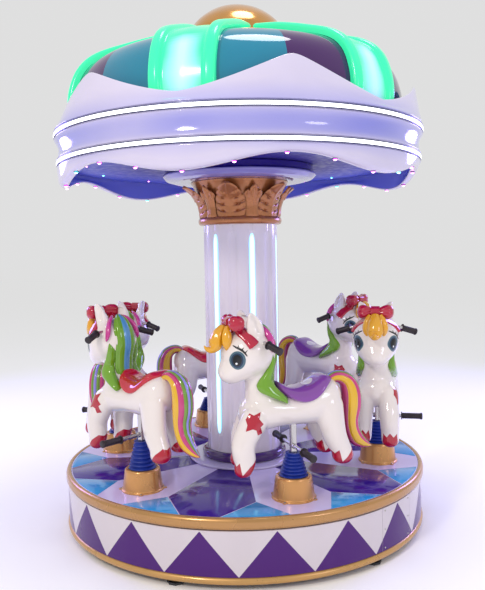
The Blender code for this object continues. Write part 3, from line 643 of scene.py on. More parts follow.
def makeColumn():
    white = gelcoat("column white", column["white"], 0.12)
    plinthWhite = gelcoat("plinth white", column["plinthWhite"], 0.08)
    purple = gelcoat("collar purple", column["collarPurple"], 0.07)
    low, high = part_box("column_shaft")
    heights = [low.z, low.z + 0.05, column["fluteLow"] - 0.004,
               *fluteHeights(column["fluteLow"], column["fluteHigh"]), column["fluteHigh"] + 0.004, high.z]
    bm = bmesh.new()
    skinRings(bm, [columnRing(height) for height in heights])
    addPiece("fluted_column", finishMesh(bm, "fluted_column"), "turntable", [white],
             ["column_shaft"], sharp=50)

    low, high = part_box("column_plinth")
    profile = [(0, low.z), (high.x - 0.0005, low.z), (high.x - 0.0005, high.z), (0, high.z)]
    turnedPiece("plinth", rounded(profile, 0.006, 5), "column_gelcoat", [plinthWhite], ["column_plinth"],
                segments=144)

    low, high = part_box("column_collar")
    inner, outer = column["radius"] + 0.0006, high.x - 0.0005
    profile = [(inner, low.z), (outer - 0.006, low.z), (outer, (low.z + high.z) / 2 - 0.004),
               (outer - 0.004, high.z - 0.010), (inner + 0.008, high.z), (inner, high.z)]
    turnedPiece("collar", rounded(profile, 0.012, 6, closed=True), "collar_gelcoat", [purple],
                ["column_collar"], segments=144, closed=True)
    makeBars()
    makeCapital()


def makeBars():
    lit = glow("column light", column["barCore"], column["barEdge"], column["barPower"], "core")
    low, high = column["fluteLow"] + column["barInset"], column["fluteHigh"] - column["barInset"]
    floor = column["radius"] - column["depth"]
    for seat in seats:
        centre = azimuthOf(seatPlace(seat))
        rings, cores = [], []
        for height in fluteHeights(low, high):
            half = taperedHalf(height, low, high, column["barHalf"], column["taper"] * 0.9)
            half = max(column["barTip"], half)
            turn = math.degrees(half / column["radius"])
            fullness = half / column["barHalf"]
            ring = []
            for k in range(-6, 7):
                across = k / 6
                proud = column["barProud"] * (1 - across * across) ** 0.5 * fullness
                ring.append(polar(floor + column["barLift"] + proud, centre + across * turn, height))
                cores.append(min(1.0, 1.45 * (1 - abs(across) ** 2.2)) * min(1.0, fullness * 1.3))
            for across in (0.9, 0.0, -0.9):
                ring.append(polar(floor - column["barBack"], centre + across * turn, height))
                cores.append(0.0)
            rings.append(ring)
        bm = bmesh.new()
        skinRings(bm, rings)
        addPiece(f"light_bar_{seat}", valuedMesh(bm, "light_bar", "core", cores), "turntable",
                 [lit])
    print("column made")


# A leaf or bud runs up through (radius, height above the capital's foot, half width in degrees)
capital = {
    "copper": "B4703F", "turn": 17.0, "neck": 0.2085, "lip": 0.262, "across": 28,
    "band": ((0.0, 0.0), (0.2145, 0.0), (0.2215, 0.007), (0.2245, 0.020), (0.2220, 0.032), (0.2150, 0.041),
             (0.2085, 0.046)),
    "leaf": ((0.2100, 0.040, 20.0), (0.2125, 0.062, 21.5), (0.2170, 0.090, 21.5), (0.2260, 0.118, 20.0),
             (0.2410, 0.145, 17.0), (0.2620, 0.168, 13.0), (0.2830, 0.186, 9.0), (0.2990, 0.198, 4.8),
             (0.3090, 0.204, 0.6)),
    # How the big leaves are cut: grooves at the lobes, leaning back, an eye above each and a notched edge
    "lobes": (0.10, 0.25, 0.40, 0.54), "lobeLean": 0.11, "grooveDeep": 0.0046, "grooveWidth": 0.016,
    "eyeDeep": 0.0080, "eyeOut": 0.46, "eyeUp": 0.050, "eyeWide": 0.12, "eyeTall": 0.020,
    "notch": 0.07, "notchWidth": 0.020, "spine": 0.30, "spineWidth": 0.09,
    "leafThick": 0.0095, "panelThick": 0.0065, "budThick": 0.0080, "sideBudThick": 0.0070,
    "panel": ((0.2120, 0.040, 12.5), (0.2150, 0.050, 9.0), (0.2180, 0.085, 8.2), (0.2260, 0.112, 8.4),
              (0.2370, 0.138, 9.4), (0.2400, 0.145, 9.2)),
    "bud": ((0.2360, 0.134, 3.0), (0.2430, 0.150, 5.6), (0.2530, 0.168, 5.4), (0.2640, 0.185, 3.2),
            (0.2720, 0.198, 0.4)),
    "sideBud": ((0.2350, 0.130, 2.6), (0.2420, 0.146, 4.2), (0.2510, 0.159, 3.4), (0.2580, 0.171, 0.4)),
    "sideTurn": 7.2,
}


def leafInto(bm, azimuth, name, carved=False):
    # A curled leaf: one closed lens, folded along its spine; lobes and drilled eyes cut into the big ones
    line, thick = smoothLine(capital[name], 8), capital[f"{name}Thick"]
    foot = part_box("capital")[0].z
    count, lean = capital["across"], capital["lobeLean"]
    rings = []
    for i, (radius, height, half) in enumerate(line):
        along = runAt(line, i, 2).normalized()
        t = i / (len(line) - 1)
        face, under = [], []
        for k in range(count + 1):
            s = 2 * k / count - 1
            away = abs(s)
            edge = half
            proud = thick * (1 - away ** 3 + capital["spine"] * swell(s, capital["spineWidth"]))
            for level in capital["lobes"] if carved else ():
                past = t - level
                eye = swell(away - capital["eyeOut"], capital["eyeWide"])
                eye *= swell(past - capital["eyeUp"], capital["eyeTall"])
                groove = swell(past - lean * away, capital["grooveWidth"])
                proud -= capital["grooveDeep"] * groove * min(1.0, away * 1.8) + capital["eyeDeep"] * eye
                edge -= half * capital["notch"] * swell(past - lean, capital["notchWidth"])
            back = thick * 0.6 * (1 - away ** 4)
            turn = azimuth + s * edge
            face.append(polar(radius + along.y * proud, turn, foot + height - along.x * proud))
            under.append(polar(radius - along.y * back, turn, foot + height + along.x * back))
        rings.append(face + under[::-1])
    skinRings(bm, rings)


def makeCapital():
    copper = metalPaint("capital copper", capital["copper"], 0.26, 0.50, coat=0.6)
    low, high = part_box("capital")
    outline = [(radius, low.z + height) for radius, height in capital["band"]]
    start, steps = outline[-1][1], 12
    for k in range(1, steps + 1):
        radius = capital["neck"] + (capital["lip"] - capital["neck"]) * (k / steps) ** 2.2
        outline.append((radius, start + (high.z - start) * k / steps))
    outline.append((0.0, high.z))
    bm = bmesh.new()
    bm.from_mesh(turnedMesh("capital_bell", rounded(outline, 0.004, 3), 144))
    for k in range(seatCount):
        azimuth = capital["turn"] + sector * k
        leafInto(bm, azimuth + sector / 2, "leaf", True)
        leafInto(bm, azimuth, "panel")
        leafInto(bm, azimuth, "bud")
        for side in (-1, 1):
            leafInto(bm, azimuth + side * capital["sideTurn"], "sideBud")
    addPiece("leaf_capital", finishMesh(bm, "leaf_capital"), "turntable", [copper],
             ["capital"], sharp=45)
    print("capital made")


# Canopy: boss, ceiling, valance, light bands, dome, arches, finial
canopy = {
    "bossUnder": "8F88CC", "bossSide": "2E1F86", "ceiling": "30248C", "ceilingEdge": "5C68D6",
    # The two blues after the lavender are painted light: the bands' blue glow on the outside, and the shade
    # and blue light of the inner face
    "valance": "D3CCE4", "valanceGlowBlue": "8A8CDC", "innerShadeGlowBlue": "8088E0", "valanceSides": 360,
    "low": 1.793, "lowWave": 0.034, "topValley": 2.082, "topPeak": 2.236, "peakSoft": 2.2,
    # Where the painted blue glow of the light bands lies: the waist and its reach, then how far above and
    # below the light bands
    "waist": 1.946, "waistReach": 0.052, "aboveReach": 0.10, "belowReach": 0.05,
    "bandHalf": 0.0128, "bandThick": 0.0056, "bandGap": 0.0003, "bandWhite": "FFFFFF", "bandEdge": "E6F4FF",
    # The dark rails at the bands' edges are partly their dark channel and partly painted shade in the gaps
    # beside the diffuser
    "bandPower": 2.4, "channelAndGapShade": "3E4268",
    "lowerBand": 1.877, "lowerRadius": 0.9435, "upperBand": 2.014, "upperRadius": 0.9535,
    "lipDots": 26, "lipDot": 0.0092, "lipRing": 0.909, "lipStart": -1.2,
    "ceilingDots": 12, "ceilingDot": 0.0062, "ceilingRing": 0.80, "ceilingRadius": 0.9140,
    "magenta": "F03CFF", "magentaCore": "FFE0FF", "magentaPower": 5.0,
    "cyan": "20F0FF", "cyanCore": "E0FFFF", "cyanPower": 4.0, "bezel": "2A2450",
    # A dot from its bezel to its tip: share of the radius, drop as a share of it, and how white-hot
    "dot": ((1.30, 0.10, 0.0), (1.30, -0.14, 0.0), (1.10, -0.24, 0.0), (1.0, -0.24, 0.0),
            (0.96, -0.42, 0.1), (0.74, -0.74, 0.45), (0.40, -0.92, 0.9), (0.06, -0.98, 1.0)),
    "dotSides": 16, "bezelRows": 3,
}


def fromPeak(azimuth):
    turn = (azimuth - peakAzimuth) % sector
    return min(turn, sector - turn)


def valanceTop(azimuth):
    # The sharp crest is eased over a few degrees
    turn = math.hypot(fromPeak(azimuth), canopy["peakSoft"]) - 0.6
    crest = max(0.0, 1 - turn / (sector / 2)) ** 1.5
    return canopy["topValley"] + (canopy["topPeak"] - canopy["topValley"]) * crest


def valanceLow(azimuth):
    return canopy["low"] + canopy["lowWave"] * math.cos(math.radians(6 * fromPeak(azimuth)))


def valanceSection(azimuth):
    # Radius and height, from the top of the outside down to the lip and up the inner face
    top, low = valanceTop(azimuth), valanceLow(azimuth)
    half = canopy["bandHalf"] + 0.0032
    upper, lower = canopy["upperBand"], canopy["lowerBand"]
    upperRadius, lowerRadius = canopy["upperRadius"], canopy["lowerRadius"]
    shoulder = upper + half
    rise = top - shoulder
    return [
        (0.9180, top), (0.9300, shoulder + rise * 0.68), (0.9420, shoulder + rise * 0.34),
        (0.9560, shoulder + 0.009), (0.9585, shoulder + 0.002),
        (upperRadius, shoulder), (upperRadius, upper - half), (0.9575, upper - half - 0.003),
        (0.9440, 1.977), (0.9360, 1.945), (0.9395, 1.912), (0.9475, lower + half + 0.003),
        (lowerRadius, lower + half), (lowerRadius, lower - half), (0.9480, lower - half - 0.003),
        (0.9430, low + 0.034), (0.9360, low + 0.012), (0.9220, low), (0.9000, low), (0.8920, low + 0.004),
        (0.8960, low + 0.016), (0.9120, 1.846), (0.9250, 1.950), (0.9390, upper), (0.9070, top - 0.004),
    ]


def valanceGlowShare(height, inside):
    # Painted light: 0 is pale lavender, 0.5 the bluer glow of the light bands painted beside them, 1 the
    # deep blue of the inner face, painted for the shade and blue light it sits in
    if inside:
        return 1.0
    over, under = height - canopy["upperBand"], canopy["lowerBand"] - height
    middle = math.exp(-((height - canopy["waist"]) / canopy["waistReach"]) ** 4)
    above = max(0.0, 1 - over / canopy["aboveReach"]) if over > 0 else 0.0
    below = max(0.0, 1 - under / canopy["belowReach"]) if under > 0 else 0.0
    return 0.5 * min(1.0, max(0.85 * middle, 0.7 * above, 0.55 * below))


def makeValance():
    def paintGlowAndShade(tree, place, tint):
        # Paints the light bands' blue glow and the inner face's shade and blue light into the lavender,
        # patchy across the surface
        tone = attributeOf(tree, "tone")
        drift = spread(tree, noise(tree, place, 1.7, 1), 1.3, 2.4)
        blue = calc(tree, "MULTIPLY", tone, drift, clamp=True)
        deep = calc(tree, "MULTIPLY_ADD", tone, 2.5, -1.5, clamp=True)
        tint = mixColour(tree, blue, tint, srgb(canopy["valanceGlowBlue"]))
        return mixColour(tree, deep, tint, srgb(canopy["innerShadeGlowBlue"]))

    # The lavender carries the painted band glow and the painted shade of the inner face
    lavender = gelcoat("valance lavender", canopy["valance"], 0.09, wave=0.14, paint=paintGlowAndShade)
    sides, steps, insideCorners = canopy["valanceSides"], 3, 5
    rings, glowShares = [], []
    for i in range(sides):
        azimuth = peakAzimuth + 360 * i / sides
        corners = valanceSection(azimuth)
        firstInside = (steps + 1) * (len(corners) - insideCorners)
        section = rounded(corners, 0.011, steps, closed=True)
        rings.append([polar(point.x, azimuth, point.y) for point in section])
        glowShares += [valanceGlowShare(point.y, k >= firstInside) for k, point in enumerate(section)]
    bm = bmesh.new()
    skinRings(bm, rings, closed=True)
    addPiece("valance_shell", valuedMesh(bm, "valance_shell", "tone", glowShares), "turntable",
             [lavender], ["valance"], sharp=50)
    print("valance made")


def makeBands():
    white = glow("band light", canopy["bandWhite"], canopy["bandEdge"], canopy["bandPower"])
    # Dark rails along both edges of each band: partly the dark channel, partly painted shade in the gaps
    # beside the diffuser
    channelAndGapShade = metalPaint("band trim", canopy["channelAndGapShade"], 0.35, 0.6)
    half, tall = canopy["bandHalf"], canopy["bandHalf"] * 0.62
    for level in ("lower", "upper"):
        name, height = f"{level}_band", canopy[f"{level}Band"]
        inner = canopy[f"{level}Radius"] + canopy["bandGap"]
        outer = inner + canopy["bandThick"]
        diffuser = [(inner, height - tall), (outer - 0.002, height - tall), (outer, height - tall * 0.5),
                    (outer, height + tall * 0.5), (outer - 0.002, height + tall), (inner, height + tall)]
        turnedPiece(name, rounded(diffuser, 0.003, 3, closed=True), "light_white", [white],
                    [f"{level}_light_band"], segments=240, closed=True)
        bm = bmesh.new()
        for side in (-1, 1):
            near, far = height + side * half * 0.65, height + side * half
            rail = [(inner, near), (outer - 0.0012, near), (outer - 0.0012, far), (inner, far)]
            skinRings(bm, turnedRings(rounded(rail, 0.0006, 2, closed=True), 240), closed=True)
        addPiece(f"{name}_trim", finishMesh(bm, f"{name}_trim"), "turntable", [channelAndGapShade])
    print("bands made")


def makeCeiling():
    def deepened(tree, place, tint):
        # Indigo by the boss, brighter blue towards the edge
        x, y = splitPlace(tree, place)[:2]
        share = spread(tree, reachOf(tree, x, y), 0.0, 1.0, 0.50, 0.90)
        return mixColour(tree, share, tint, srgb(canopy["ceilingEdge"]))

    indigo = gelcoat("ceiling indigo", canopy["ceiling"], 0.42, wave=0.05, coat=0.0, paint=deepened)
    low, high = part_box("ceiling")
    outer = canopy["ceilingRadius"]
    profile = [(0, low.z), (0.46, low.z), (0.48, low.z + 0.003), (0.70, low.z + 0.003), (0.72, low.z),
               (outer, low.z), (outer, high.z), (0, high.z)]
    turnedPiece("ceiling_disc", rounded(profile, 0.003, 3), "ceiling_gelcoat", [indigo], ["ceiling"])

    under = gelcoat("boss lavender", canopy["bossUnder"], 0.09)
    side = gelcoat("boss purple", canopy["bossSide"], 0.09)
    low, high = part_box("ceiling_boss")
    radius = high.x - 0.0004
    profile = [(0, low.z), (0.345, low.z), (radius - 0.020, low.z + 0.010), (radius, low.z + 0.030),
               (radius - 0.003, low.z + 0.040), (radius - 0.014, low.z + 0.044), (radius - 0.014, high.z),
               (0, high.z)]
    outline = rounded(profile, 0.012, 5)
    split = next(i for i, point in enumerate(outline) if point[1] > low.z + 0.036)
    turnedPiece("boss", outline, "ceiling_gelcoat", [under, side], ["ceiling_boss"],
                paint=lambda row, i: 0 if i < split else 1)
    print("ceiling made")


def makeDots():
    magenta = glow("magenta dot", canopy["magentaCore"], canopy["magenta"], canopy["magentaPower"], "core")
    cyan = glow("cyan dot", canopy["cyanCore"], canopy["cyan"], canopy["cyanPower"], "core")
    bezel = rubber("dot bezel", canopy["bezel"], 0.4)
    spots = []
    for k in range(canopy["lipDots"]):  # every sixth is cyan
        azimuth = canopy["lipStart"] + 360 / canopy["lipDots"] * k
        place = polar(canopy["lipRing"], azimuth, valanceLow(azimuth))
        spots.append((place, canopy["lipDot"], 1 if k % 6 == 4 else 0))
    for k in range(canopy["ceilingDots"]):
        azimuth = peakAzimuth + 360 / canopy["ceilingDots"] * k
        place = polar(canopy["ceilingRing"], azimuth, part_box("ceiling")[0].z)
        spots.append((place, canopy["ceilingDot"], 1 - k % 2))
    bm = bmesh.new()
    cores = []
    for centre, radius, paint in spots:
        rings = []
        for share, drop, core in canopy["dot"]:
            circle = oval((0, 0), radius * share, radius * share, canopy["dotSides"])
            rings.append([centre + Vector((x, y, radius * drop)) for x, y in circle])
            cores += [core] * len(circle)
        skinRings(bm, rings, lambda row, i: 2 if row < canopy["bezelRows"] else paint)
    addPiece("canopy_dots", valuedMesh(bm, "canopy_dots", "core", cores), "turntable",
             [magenta, cyan, bezel])
    print("dots made")


dome = {
    "teal": "127E9C", "purple": "40125A", "wall": 0.012, "sides": 240,
    "outline": ((0.840, 2.030), (0.857, 2.110), (0.852, 2.200), (0.815, 2.298),
                (0.740, 2.366), (0.600, 2.420), (0.440, 2.470), (0.300, 2.500)),
    "archHalf": 0.145, "railWidth": 0.056, "railHeight": 0.0375, "panelHeight": 0.014,
    "mint": "30DC9C", "window": "A9DDF6", "archPower": 0.50,
    "gold": "C98E42",
    "finial": ((0.2615, 0.000), (0.2615, 0.028), (0.258, 0.048), (0.246, 0.079), (0.212, 0.125),
               (0.150, 0.171), (0.080, 0.199), (0.030, 0.2085), (0.000, 0.2098)),
}


def makeDome():
    purple, teal = [gelcoat(f"dome {name}", dome[name], 0.06, wave=0.06, drift=0.10, coat=0.3)
                    for name in ("purple", "teal")]
    outer = smoothLine(dome["outline"])
    foot, crown = [end.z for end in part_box("dome")]
    wall, sides = dome["wall"], dome["sides"]
    profile = [(0, crown), (0.16, crown - 0.0004), *reversed(outer), (outer[0][0], foot),
               (outer[0][0] - wall, foot)]
    profile += [(radius - wall, height - wall * 0.4) for radius, height in outer[::4]] + [(0, crown - wall)]
    turnedPiece("dome_shell", profile, "dome_gelcoat", [purple, teal], ["dome"], sharp=50, segments=sides,
                start=peakAzimuth, paint=lambda row, i: row // (sides // seatCount) % 2)
    print("dome made")


def archProfile():
    # Across an arch: a rail at each side and a sunk panel between them
    half, rail = dome["archHalf"], dome["archHalf"] - dome["railWidth"]
    high, low = dome["railHeight"], dome["panelHeight"]
    side = [(-half, 0.002), (-half, high * 0.72), (-half + 0.010, high), (-rail - 0.016, high),
            (-rail - 0.006, high * 0.80), (-rail, low), (0.0, low + 0.004)]
    return rounded(side + [(-x, y) for x, y in reversed(side[:-1])], 0.011, 4)


def makeArches():
    mint = glow("arch mint", dome["window"], dome["mint"], dome["archPower"], "window", 0.2, 0.12)
    outer, section = smoothLine(dome["outline"]), archProfile()
    paneHalf = dome["archHalf"] - dome["railWidth"] - 0.004
    for arch in range(seatCount):
        centre = peakAzimuth - sector / 2 - sector * arch
        rings, window = [], []
        for row, (radius, height) in enumerate(outer):
            along = runAt(outer, row, 2).normalized()
            fade = max(0.0, (row / (len(outer) - 1) - 0.22) / 0.28) ** 2.4
            ring = []
            for point in section:
                turn = math.degrees(math.asin(point.x / radius))
                proud = max(point.y, 0.0016)
                ring.append(polar(radius + along.y * proud, centre + turn, height - along.x * proud))
                side = abs(point.x) / paneHalf
                window.append(max(0.0, min(1.0, 1.7 * (1 - (side ** 3 + fade)))) if side < 1 else 0.0)
            rings.append(ring)
        bm = bmesh.new()
        skinRings(bm, rings)
        addPiece(f"lit_arch_{arch + 1}", valuedMesh(bm, "arch_shell", "window", window), "turntable",
                 [mint], [f"dome_arch_{arch + 1}"], sharp=45)

    gold = metalPaint("finial gold", dome["gold"], 0.18, 0.7, drift=0.18, coat=0.8)
    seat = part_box("finial")[0].z
    profile = [(0, seat)] + [(radius, seat + height) for radius, height in smoothLine(dome["finial"], 5)]
    turnedPiece("finial_cap", profile, "finial_pearl", [gold], ["finial"], segments=144)
    print("arches and finial made")


# Pole, footrest, handlebar and bellows of each seat
pole = {
    "side": 0.026, "low": -0.160, "top": 0.390, "corner": 0.0035, "steel": "C9C6C4",
    "restHeight": 0.235, "restHalf": 0.230, "bar": 0.0088, "sleeve": (0.0122, 0.0122, 0.0100),
    "grip": 0.0155, "gripLength": 0.108, "gripBlack": "241A20",
    # Along a grip, shares of its length and radius: the flange, the ribs between, the outer end
    "flange": ((0.0, 0.55), (0.0, 1.28), (0.030, 1.30), (0.050, 1.22), (0.055, 0.94)),
    "ribs": 9, "ribsFrom": 0.08, "ribsRun": 0.80, "ribDip": 0.93,
    "gripEnd": ((0.89, 1.0), (0.90, 1.10), (0.955, 1.12), (0.985, 1.02), (1.0, 0.80), (1.0, 0.30)),
    "handle": (0.160, 0.118, 0.716), "handleRun": (-0.032, 0.078, -0.026), "handleBar": 0.0086,
    "bellowsBlue": "0F2C8C", "folds": 7, "perFold": 8, "bellowsLow": 0.1036, "bellowsHigh": 0.205,
    "lowRadius": 0.0655, "highRadius": 0.0360, "fold": 0.0085, "bore": 0.0194,
}


def gripInto(bm, start, end, paint=0):
    # Ribbed rubber grip with a flange at its inner end and a rounded outer end
    start, run = Vector(start), Vector(end) - Vector(start)
    steps = pole["ribs"] * 4
    ribs = [(pole["ribsFrom"] + pole["ribsRun"] * k / steps, pole["ribDip"] if k % 4 in (0, 3) else 1.0)
            for k in range(steps)]
    turn = run.to_track_quat("Z", "Y").to_matrix()
    circle = [turn @ Vector((x, y, 0)) for x, y in oval((0, 0), 1, 1, 24)]
    rings = []
    for i, (share, size) in enumerate([*pole["flange"], *ribs, *pole["gripEnd"]]):
        place = start + run * share + run.normalized() * 0.00001 * i
        rings.append([place + point * pole["grip"] * size for point in circle])
    skinRings(bm, rings, paint)


def bellowsMesh(lift):
    low, high = pole["bellowsLow"], pole["bellowsHigh"] + lift
    outline = [(pole["bore"], low)]
    steps = pole["folds"] * pole["perFold"]
    for k in range(steps + 1):
        share = k / steps
        wide = pole["lowRadius"] + (pole["highRadius"] - pole["lowRadius"]) * share
        dip = pole["fold"] * (1 - share * 0.35)
        wave = (0.5 + 0.5 * math.cos(math.tau * pole["folds"] * share)) ** 0.7
        outline.append((wide - dip * (1 - wave), low + (high - low) * share))
    outline.append((pole["bore"], high))
    return turnedMesh("bellows", outline, 64, closed=True)


def makeSeatSteel():
    steel = metalPaint("pole steel", pole["steel"], 0.22, 0.95, grain=(1, 1, 0.1))
    black = rubber("grip rubber", pole["gripBlack"], 0.42)
    half = pole["side"] / 2 - 0.0001
    square = rounded([(-half, -half), (half, -half), (half, half), (-half, half)], pole["corner"], 4,
                     closed=True)
    rest, restHalf = pole["restHeight"], pole["restHalf"]
    bm = bmesh.new()
    skinRings(bm, [[Vector((p.x, p.y, z)) for p in square] for z in (pole["low"], 0.0, 0.2, pole["top"])])
    tube(bm, [(0, y, rest) for y in (-restHalf + 0.01, -0.05, 0, 0.05, restHalf - 0.01)], [pole["bar"]] * 5)
    for side in (-1, 1):  # a short sleeve where the bar passes through the pole
        tube(bm, [(0, side * y, rest) for y in (0.010, 0.020, 0.024)], pole["sleeve"])
    poleMesh = finishMesh(bm, "pole_tube")

    bm = bmesh.new()
    for side in (-1, 1):
        gripInto(bm, (0, side * (restHalf - pole["gripLength"]), rest), (0, side * restHalf, rest))
    restMesh = finishMesh(bm, "foot_grips")

    # Where the handlebar bends on each side, and its run out from there
    bends = [(mirrored(pole["handle"], side), mirrored(pole["handleRun"], side)) for side in (-1, 1)]
    (right, rightRun), (left, leftRun) = bends
    bent = smoothLine([right + rightRun * 0.9, right, mirrored(left, 0), left, left + leftRun * 0.9], 5)
    bm = bmesh.new()
    tube(bm, bent, [pole["handleBar"]] * len(bent))
    for bend, run in bends:
        gripInto(bm, bend + run * 0.10, bend + run, 1)
    handleMesh = finishMesh(bm, "handlebar_grips")

    blue = rubber("bellows blue", pole["bellowsBlue"], 0.38, 60)
    for seat in seats:
        lift, body = seatLift(seat), f"pony_{seat}"
        raised = seatMatrix(seat, lift)
        addPiece(f"pole_{seat}", poleMesh, body, [steel], [f"pony_{seat}_pole"], raised)
        addPiece(f"foot_grips_{seat}", restMesh, body, [black], matrix=raised)
        addPiece(f"handlebar_{seat}", handleMesh, body, [steel, black],
                 [f"pony_{seat}_handlebar"], raised)
        bellows = addPiece(f"bellows_{seat}", bellowsMesh(lift), None, [blue],
                           [f"pony_{seat}_bellows"], seatMatrix(seat), sharp=60)
        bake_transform(bellows)
    print("poles, grips and bellows made")


# Pony: one glass fibre moulding, then the raised coloured forms on it.
# Beads are x forward, y left, z above the deck and three half sizes.
pony = {
    "voxel": 0.0050, "beadsPerLink": 9, "calm": 16,
    "white": "E8DFDA", "red": "AE0A2A",
    # Hoof paint: place of each hoof and its lowest point, height of the line, how far it swings
    "hooves": ((0.256, 0.066, 0.137), (0.233, -0.066, 0.144), (-0.212, 0.067, 0.148),
               (-0.190, -0.067, 0.165)),
    "hoofLow": 0.017, "hoofWave": 0.062, "hoofReach": 0.085, "hoofSharp": 900.0,
    "crown": ((0.0, 1.0), (0.13, 0.66), (0.27, 0.94), (0.355, 0.05), (0.60, 0.62), (0.84, 1.0),
              (1.0, 0.88)),
    "torso": ((-0.155, 0, 0.450, 0.074, 0.097, 0.090), (-0.100, 0, 0.432, 0.080, 0.104, 0.102),
              (-0.020, 0, 0.410, 0.080, 0.097, 0.078), (0.060, 0, 0.408, 0.080, 0.095, 0.075),
              (0.135, 0, 0.410, 0.080, 0.095, 0.087), (0.185, 0, 0.398, 0.067, 0.089, 0.079)),
    "neck": ((0.140, 0, 0.440, 0.086, 0.082, 0.072), (0.160, 0, 0.520, 0.060, 0.066, 0.062),
             (0.168, 0, 0.610, 0.069, 0.075, 0.061)),
    "head": ((0.205, 0, 0.668, 0.123, 0.117, 0.111), (0.247, 0, 0.630, 0.080, 0.099, 0.082),
             (0.286, 0, 0.592, 0.058, 0.067, 0.055)),
    "ear": ((0.186, 0.058, 0.752, 0.039, 0.028, 0.036), (0.198, 0.068, 0.792, 0.038, 0.019, 0.032),
            (0.214, 0.076, 0.832, 0.019, 0.012, 0.021)),
    "earFrom": (0.060, 0.765), "earHollow": ((0.208, 0.836), (0.188, 0.812), (0.180, 0.772)),
    "hollowHalf": 0.0095, "hollowDeep": 0.0120,
    "nostril": (0.335, 0.030, 0.588), "nostrilHalf": 0.0075, "nostrilDeep": 0.0035,
    # Shallow dishes: middle in x and z, half sizes, depth
    "earDish": (0.206, 0.800, 0.022, 0.028, 0.0055), "socket": (0.282, 0.651, 0.044, 0.050, 0.004),
    "legs": (((0.200, 0.055, 0.380, 0.063, 0.051, 0.061), (0.254, 0.064, 0.285, 0.055, 0.049, 0.051),
              (0.251, 0.066, 0.205, 0.048, 0.045, 0.040), (0.259, 0.066, 0.174, 0.041, 0.043, 0.038)),
             ((0.180, -0.055, 0.380, 0.063, 0.051, 0.061), (0.216, -0.064, 0.290, 0.055, 0.049, 0.051),
              (0.223, -0.066, 0.212, 0.048, 0.045, 0.040), (0.236, -0.066, 0.181, 0.041, 0.043, 0.038)),
             ((-0.150, 0.055, 0.410, 0.071, 0.053, 0.071), (-0.172, 0.064, 0.290, 0.057, 0.051, 0.051),
              (-0.208, 0.067, 0.210, 0.048, 0.045, 0.040), (-0.212, 0.067, 0.189, 0.050, 0.048, 0.041)),
             ((-0.150, -0.055, 0.410, 0.071, 0.053, 0.071), (-0.158, -0.064, 0.300, 0.057, 0.051, 0.051),
              (-0.186, -0.067, 0.226, 0.048, 0.045, 0.040), (-0.190, -0.067, 0.206, 0.050, 0.048, 0.041))),
}


def beadsInto(bm, chain, side=1):
    for x, y, z, halfX, halfY, halfZ in smoothLine(chain, pony["beadsPerLink"]):
        place = Matrix.Translation((x, side * y, z)) @ Matrix.Diagonal((halfX, halfY, halfZ, 1))
        bmesh.ops.create_icosphere(bm, subdivisions=3, radius=1.0, matrix=place)


def fuse(bm, name):
    # The beads become one skin, then its lumps are calmed
    mesh = bpy.data.meshes.new(name)
    bm.to_mesh(mesh)
    bm.free()
    work = bpy.data.objects.new(name, mesh)
    bpy.context.scene.collection.objects.link(work)
    change = work.modifiers.new("fuse", "REMESH")
    change.mode = "VOXEL"
    change.voxel_size = pony["voxel"]
    soft = work.modifiers.new("calm", "SMOOTH")
    soft.factor = 0.5
    soft.iterations = pony["calm"]
    fused = bpy.data.meshes.new_from_object(work.evaluated_get(bpy.context.evaluated_depsgraph_get()))
    fused.name = name
    bpy.data.objects.remove(work)
    bpy.data.meshes.remove(mesh)
    return fused


def offLine(point, line):
    # How far a point (x, z) lies from a bent line
    best = 9.0
    for a, b in zip(line, line[1:]):
        a, b = Vector(a), Vector(b)
        share = max(0.0, min(1.0, (point - a).dot(b - a) / (b - a).length_squared))
        best = min(best, (point - a.lerp(b, share)).length)
    return best


def dishAt(place, dish):
    middleX, middleZ, halfX, halfZ, deep = dish
    away = ((place.x - middleX) / halfX) ** 2 + ((place.z - middleZ) / halfZ) ** 2
    return deep * math.exp(-away * away)


def ponyBody():
    bm = bmesh.new()
    for chain in (pony["torso"], pony["neck"], pony["head"]):
        beadsInto(bm, chain)
    for side in (-1, 1):
        beadsInto(bm, pony["ear"], side)
    for leg in pony["legs"]:
        beadsInto(bm, leg)
    mesh = fuse(bm, "pony_moulding")
    earOut, earFoot = pony["earFrom"]
    for vert in mesh.vertices:
        place = vert.co
        side = 1 if place.y > 0 else -1
        # The ear: a sharp groove along its back, a dish before it
        if abs(place.y) > earOut and place.z > earFoot:
            away = offLine(Vector((place.x, place.z)), pony["earHollow"])
            groove = pony["hollowDeep"] * swell(away, pony["hollowHalf"])
            place.y -= side * (groove + dishAt(place, pony["earDish"]))
        away = (place - mirrored(pony["nostril"], side)).length
        place.x -= pony["nostrilDeep"] * swell(away, pony["nostrilHalf"])
        if abs(place.y) > 0.03:
            place.y -= side * dishAt(place, pony["socket"])
    return mesh


def hoofPaint(tree, place, tint):
    # Red shoes with a crown of points, tallest in front and cut by a deep white notch on each side
    x, y, z = splitPlace(tree, place)
    reds = None
    for centreX, centreY, low in pony["hooves"]:
        dx, dy = calc(tree, "SUBTRACT", x, centreX), calc(tree, "SUBTRACT", y, centreY)
        turn = calc(tree, "DIVIDE", calc(tree, "ARCTAN2", calc(tree, "ABSOLUTE", dy), dx), math.pi)
        ramp = tree.nodes.new("ShaderNodeValToRGB")
        tree.links.new(turn, ramp.inputs["Fac"])
        points = ramp.color_ramp.elements
        while len(points) < len(pony["crown"]):
            points.new(0.5)
        for point, (stop, level) in zip(points, pony["crown"]):
            point.position = stop
            point.color = (level, level, level, 1)
        edge = calc(tree, "MULTIPLY_ADD", ramp.outputs["Color"], pony["hoofWave"], low + pony["hoofLow"])
        below = calc(tree, "MULTIPLY", calc(tree, "SUBTRACT", edge, z), pony["hoofSharp"], clamp=True)
        near = calc(tree, "LESS_THAN", reachOf(tree, dx, dy), pony["hoofReach"])
        red = calc(tree, "MULTIPLY", below, near)
        reds = red if reds is None else calc(tree, "MAXIMUM", reds, red)
    return mixColour(tree, reds, tint, srgb(pony["red"]))


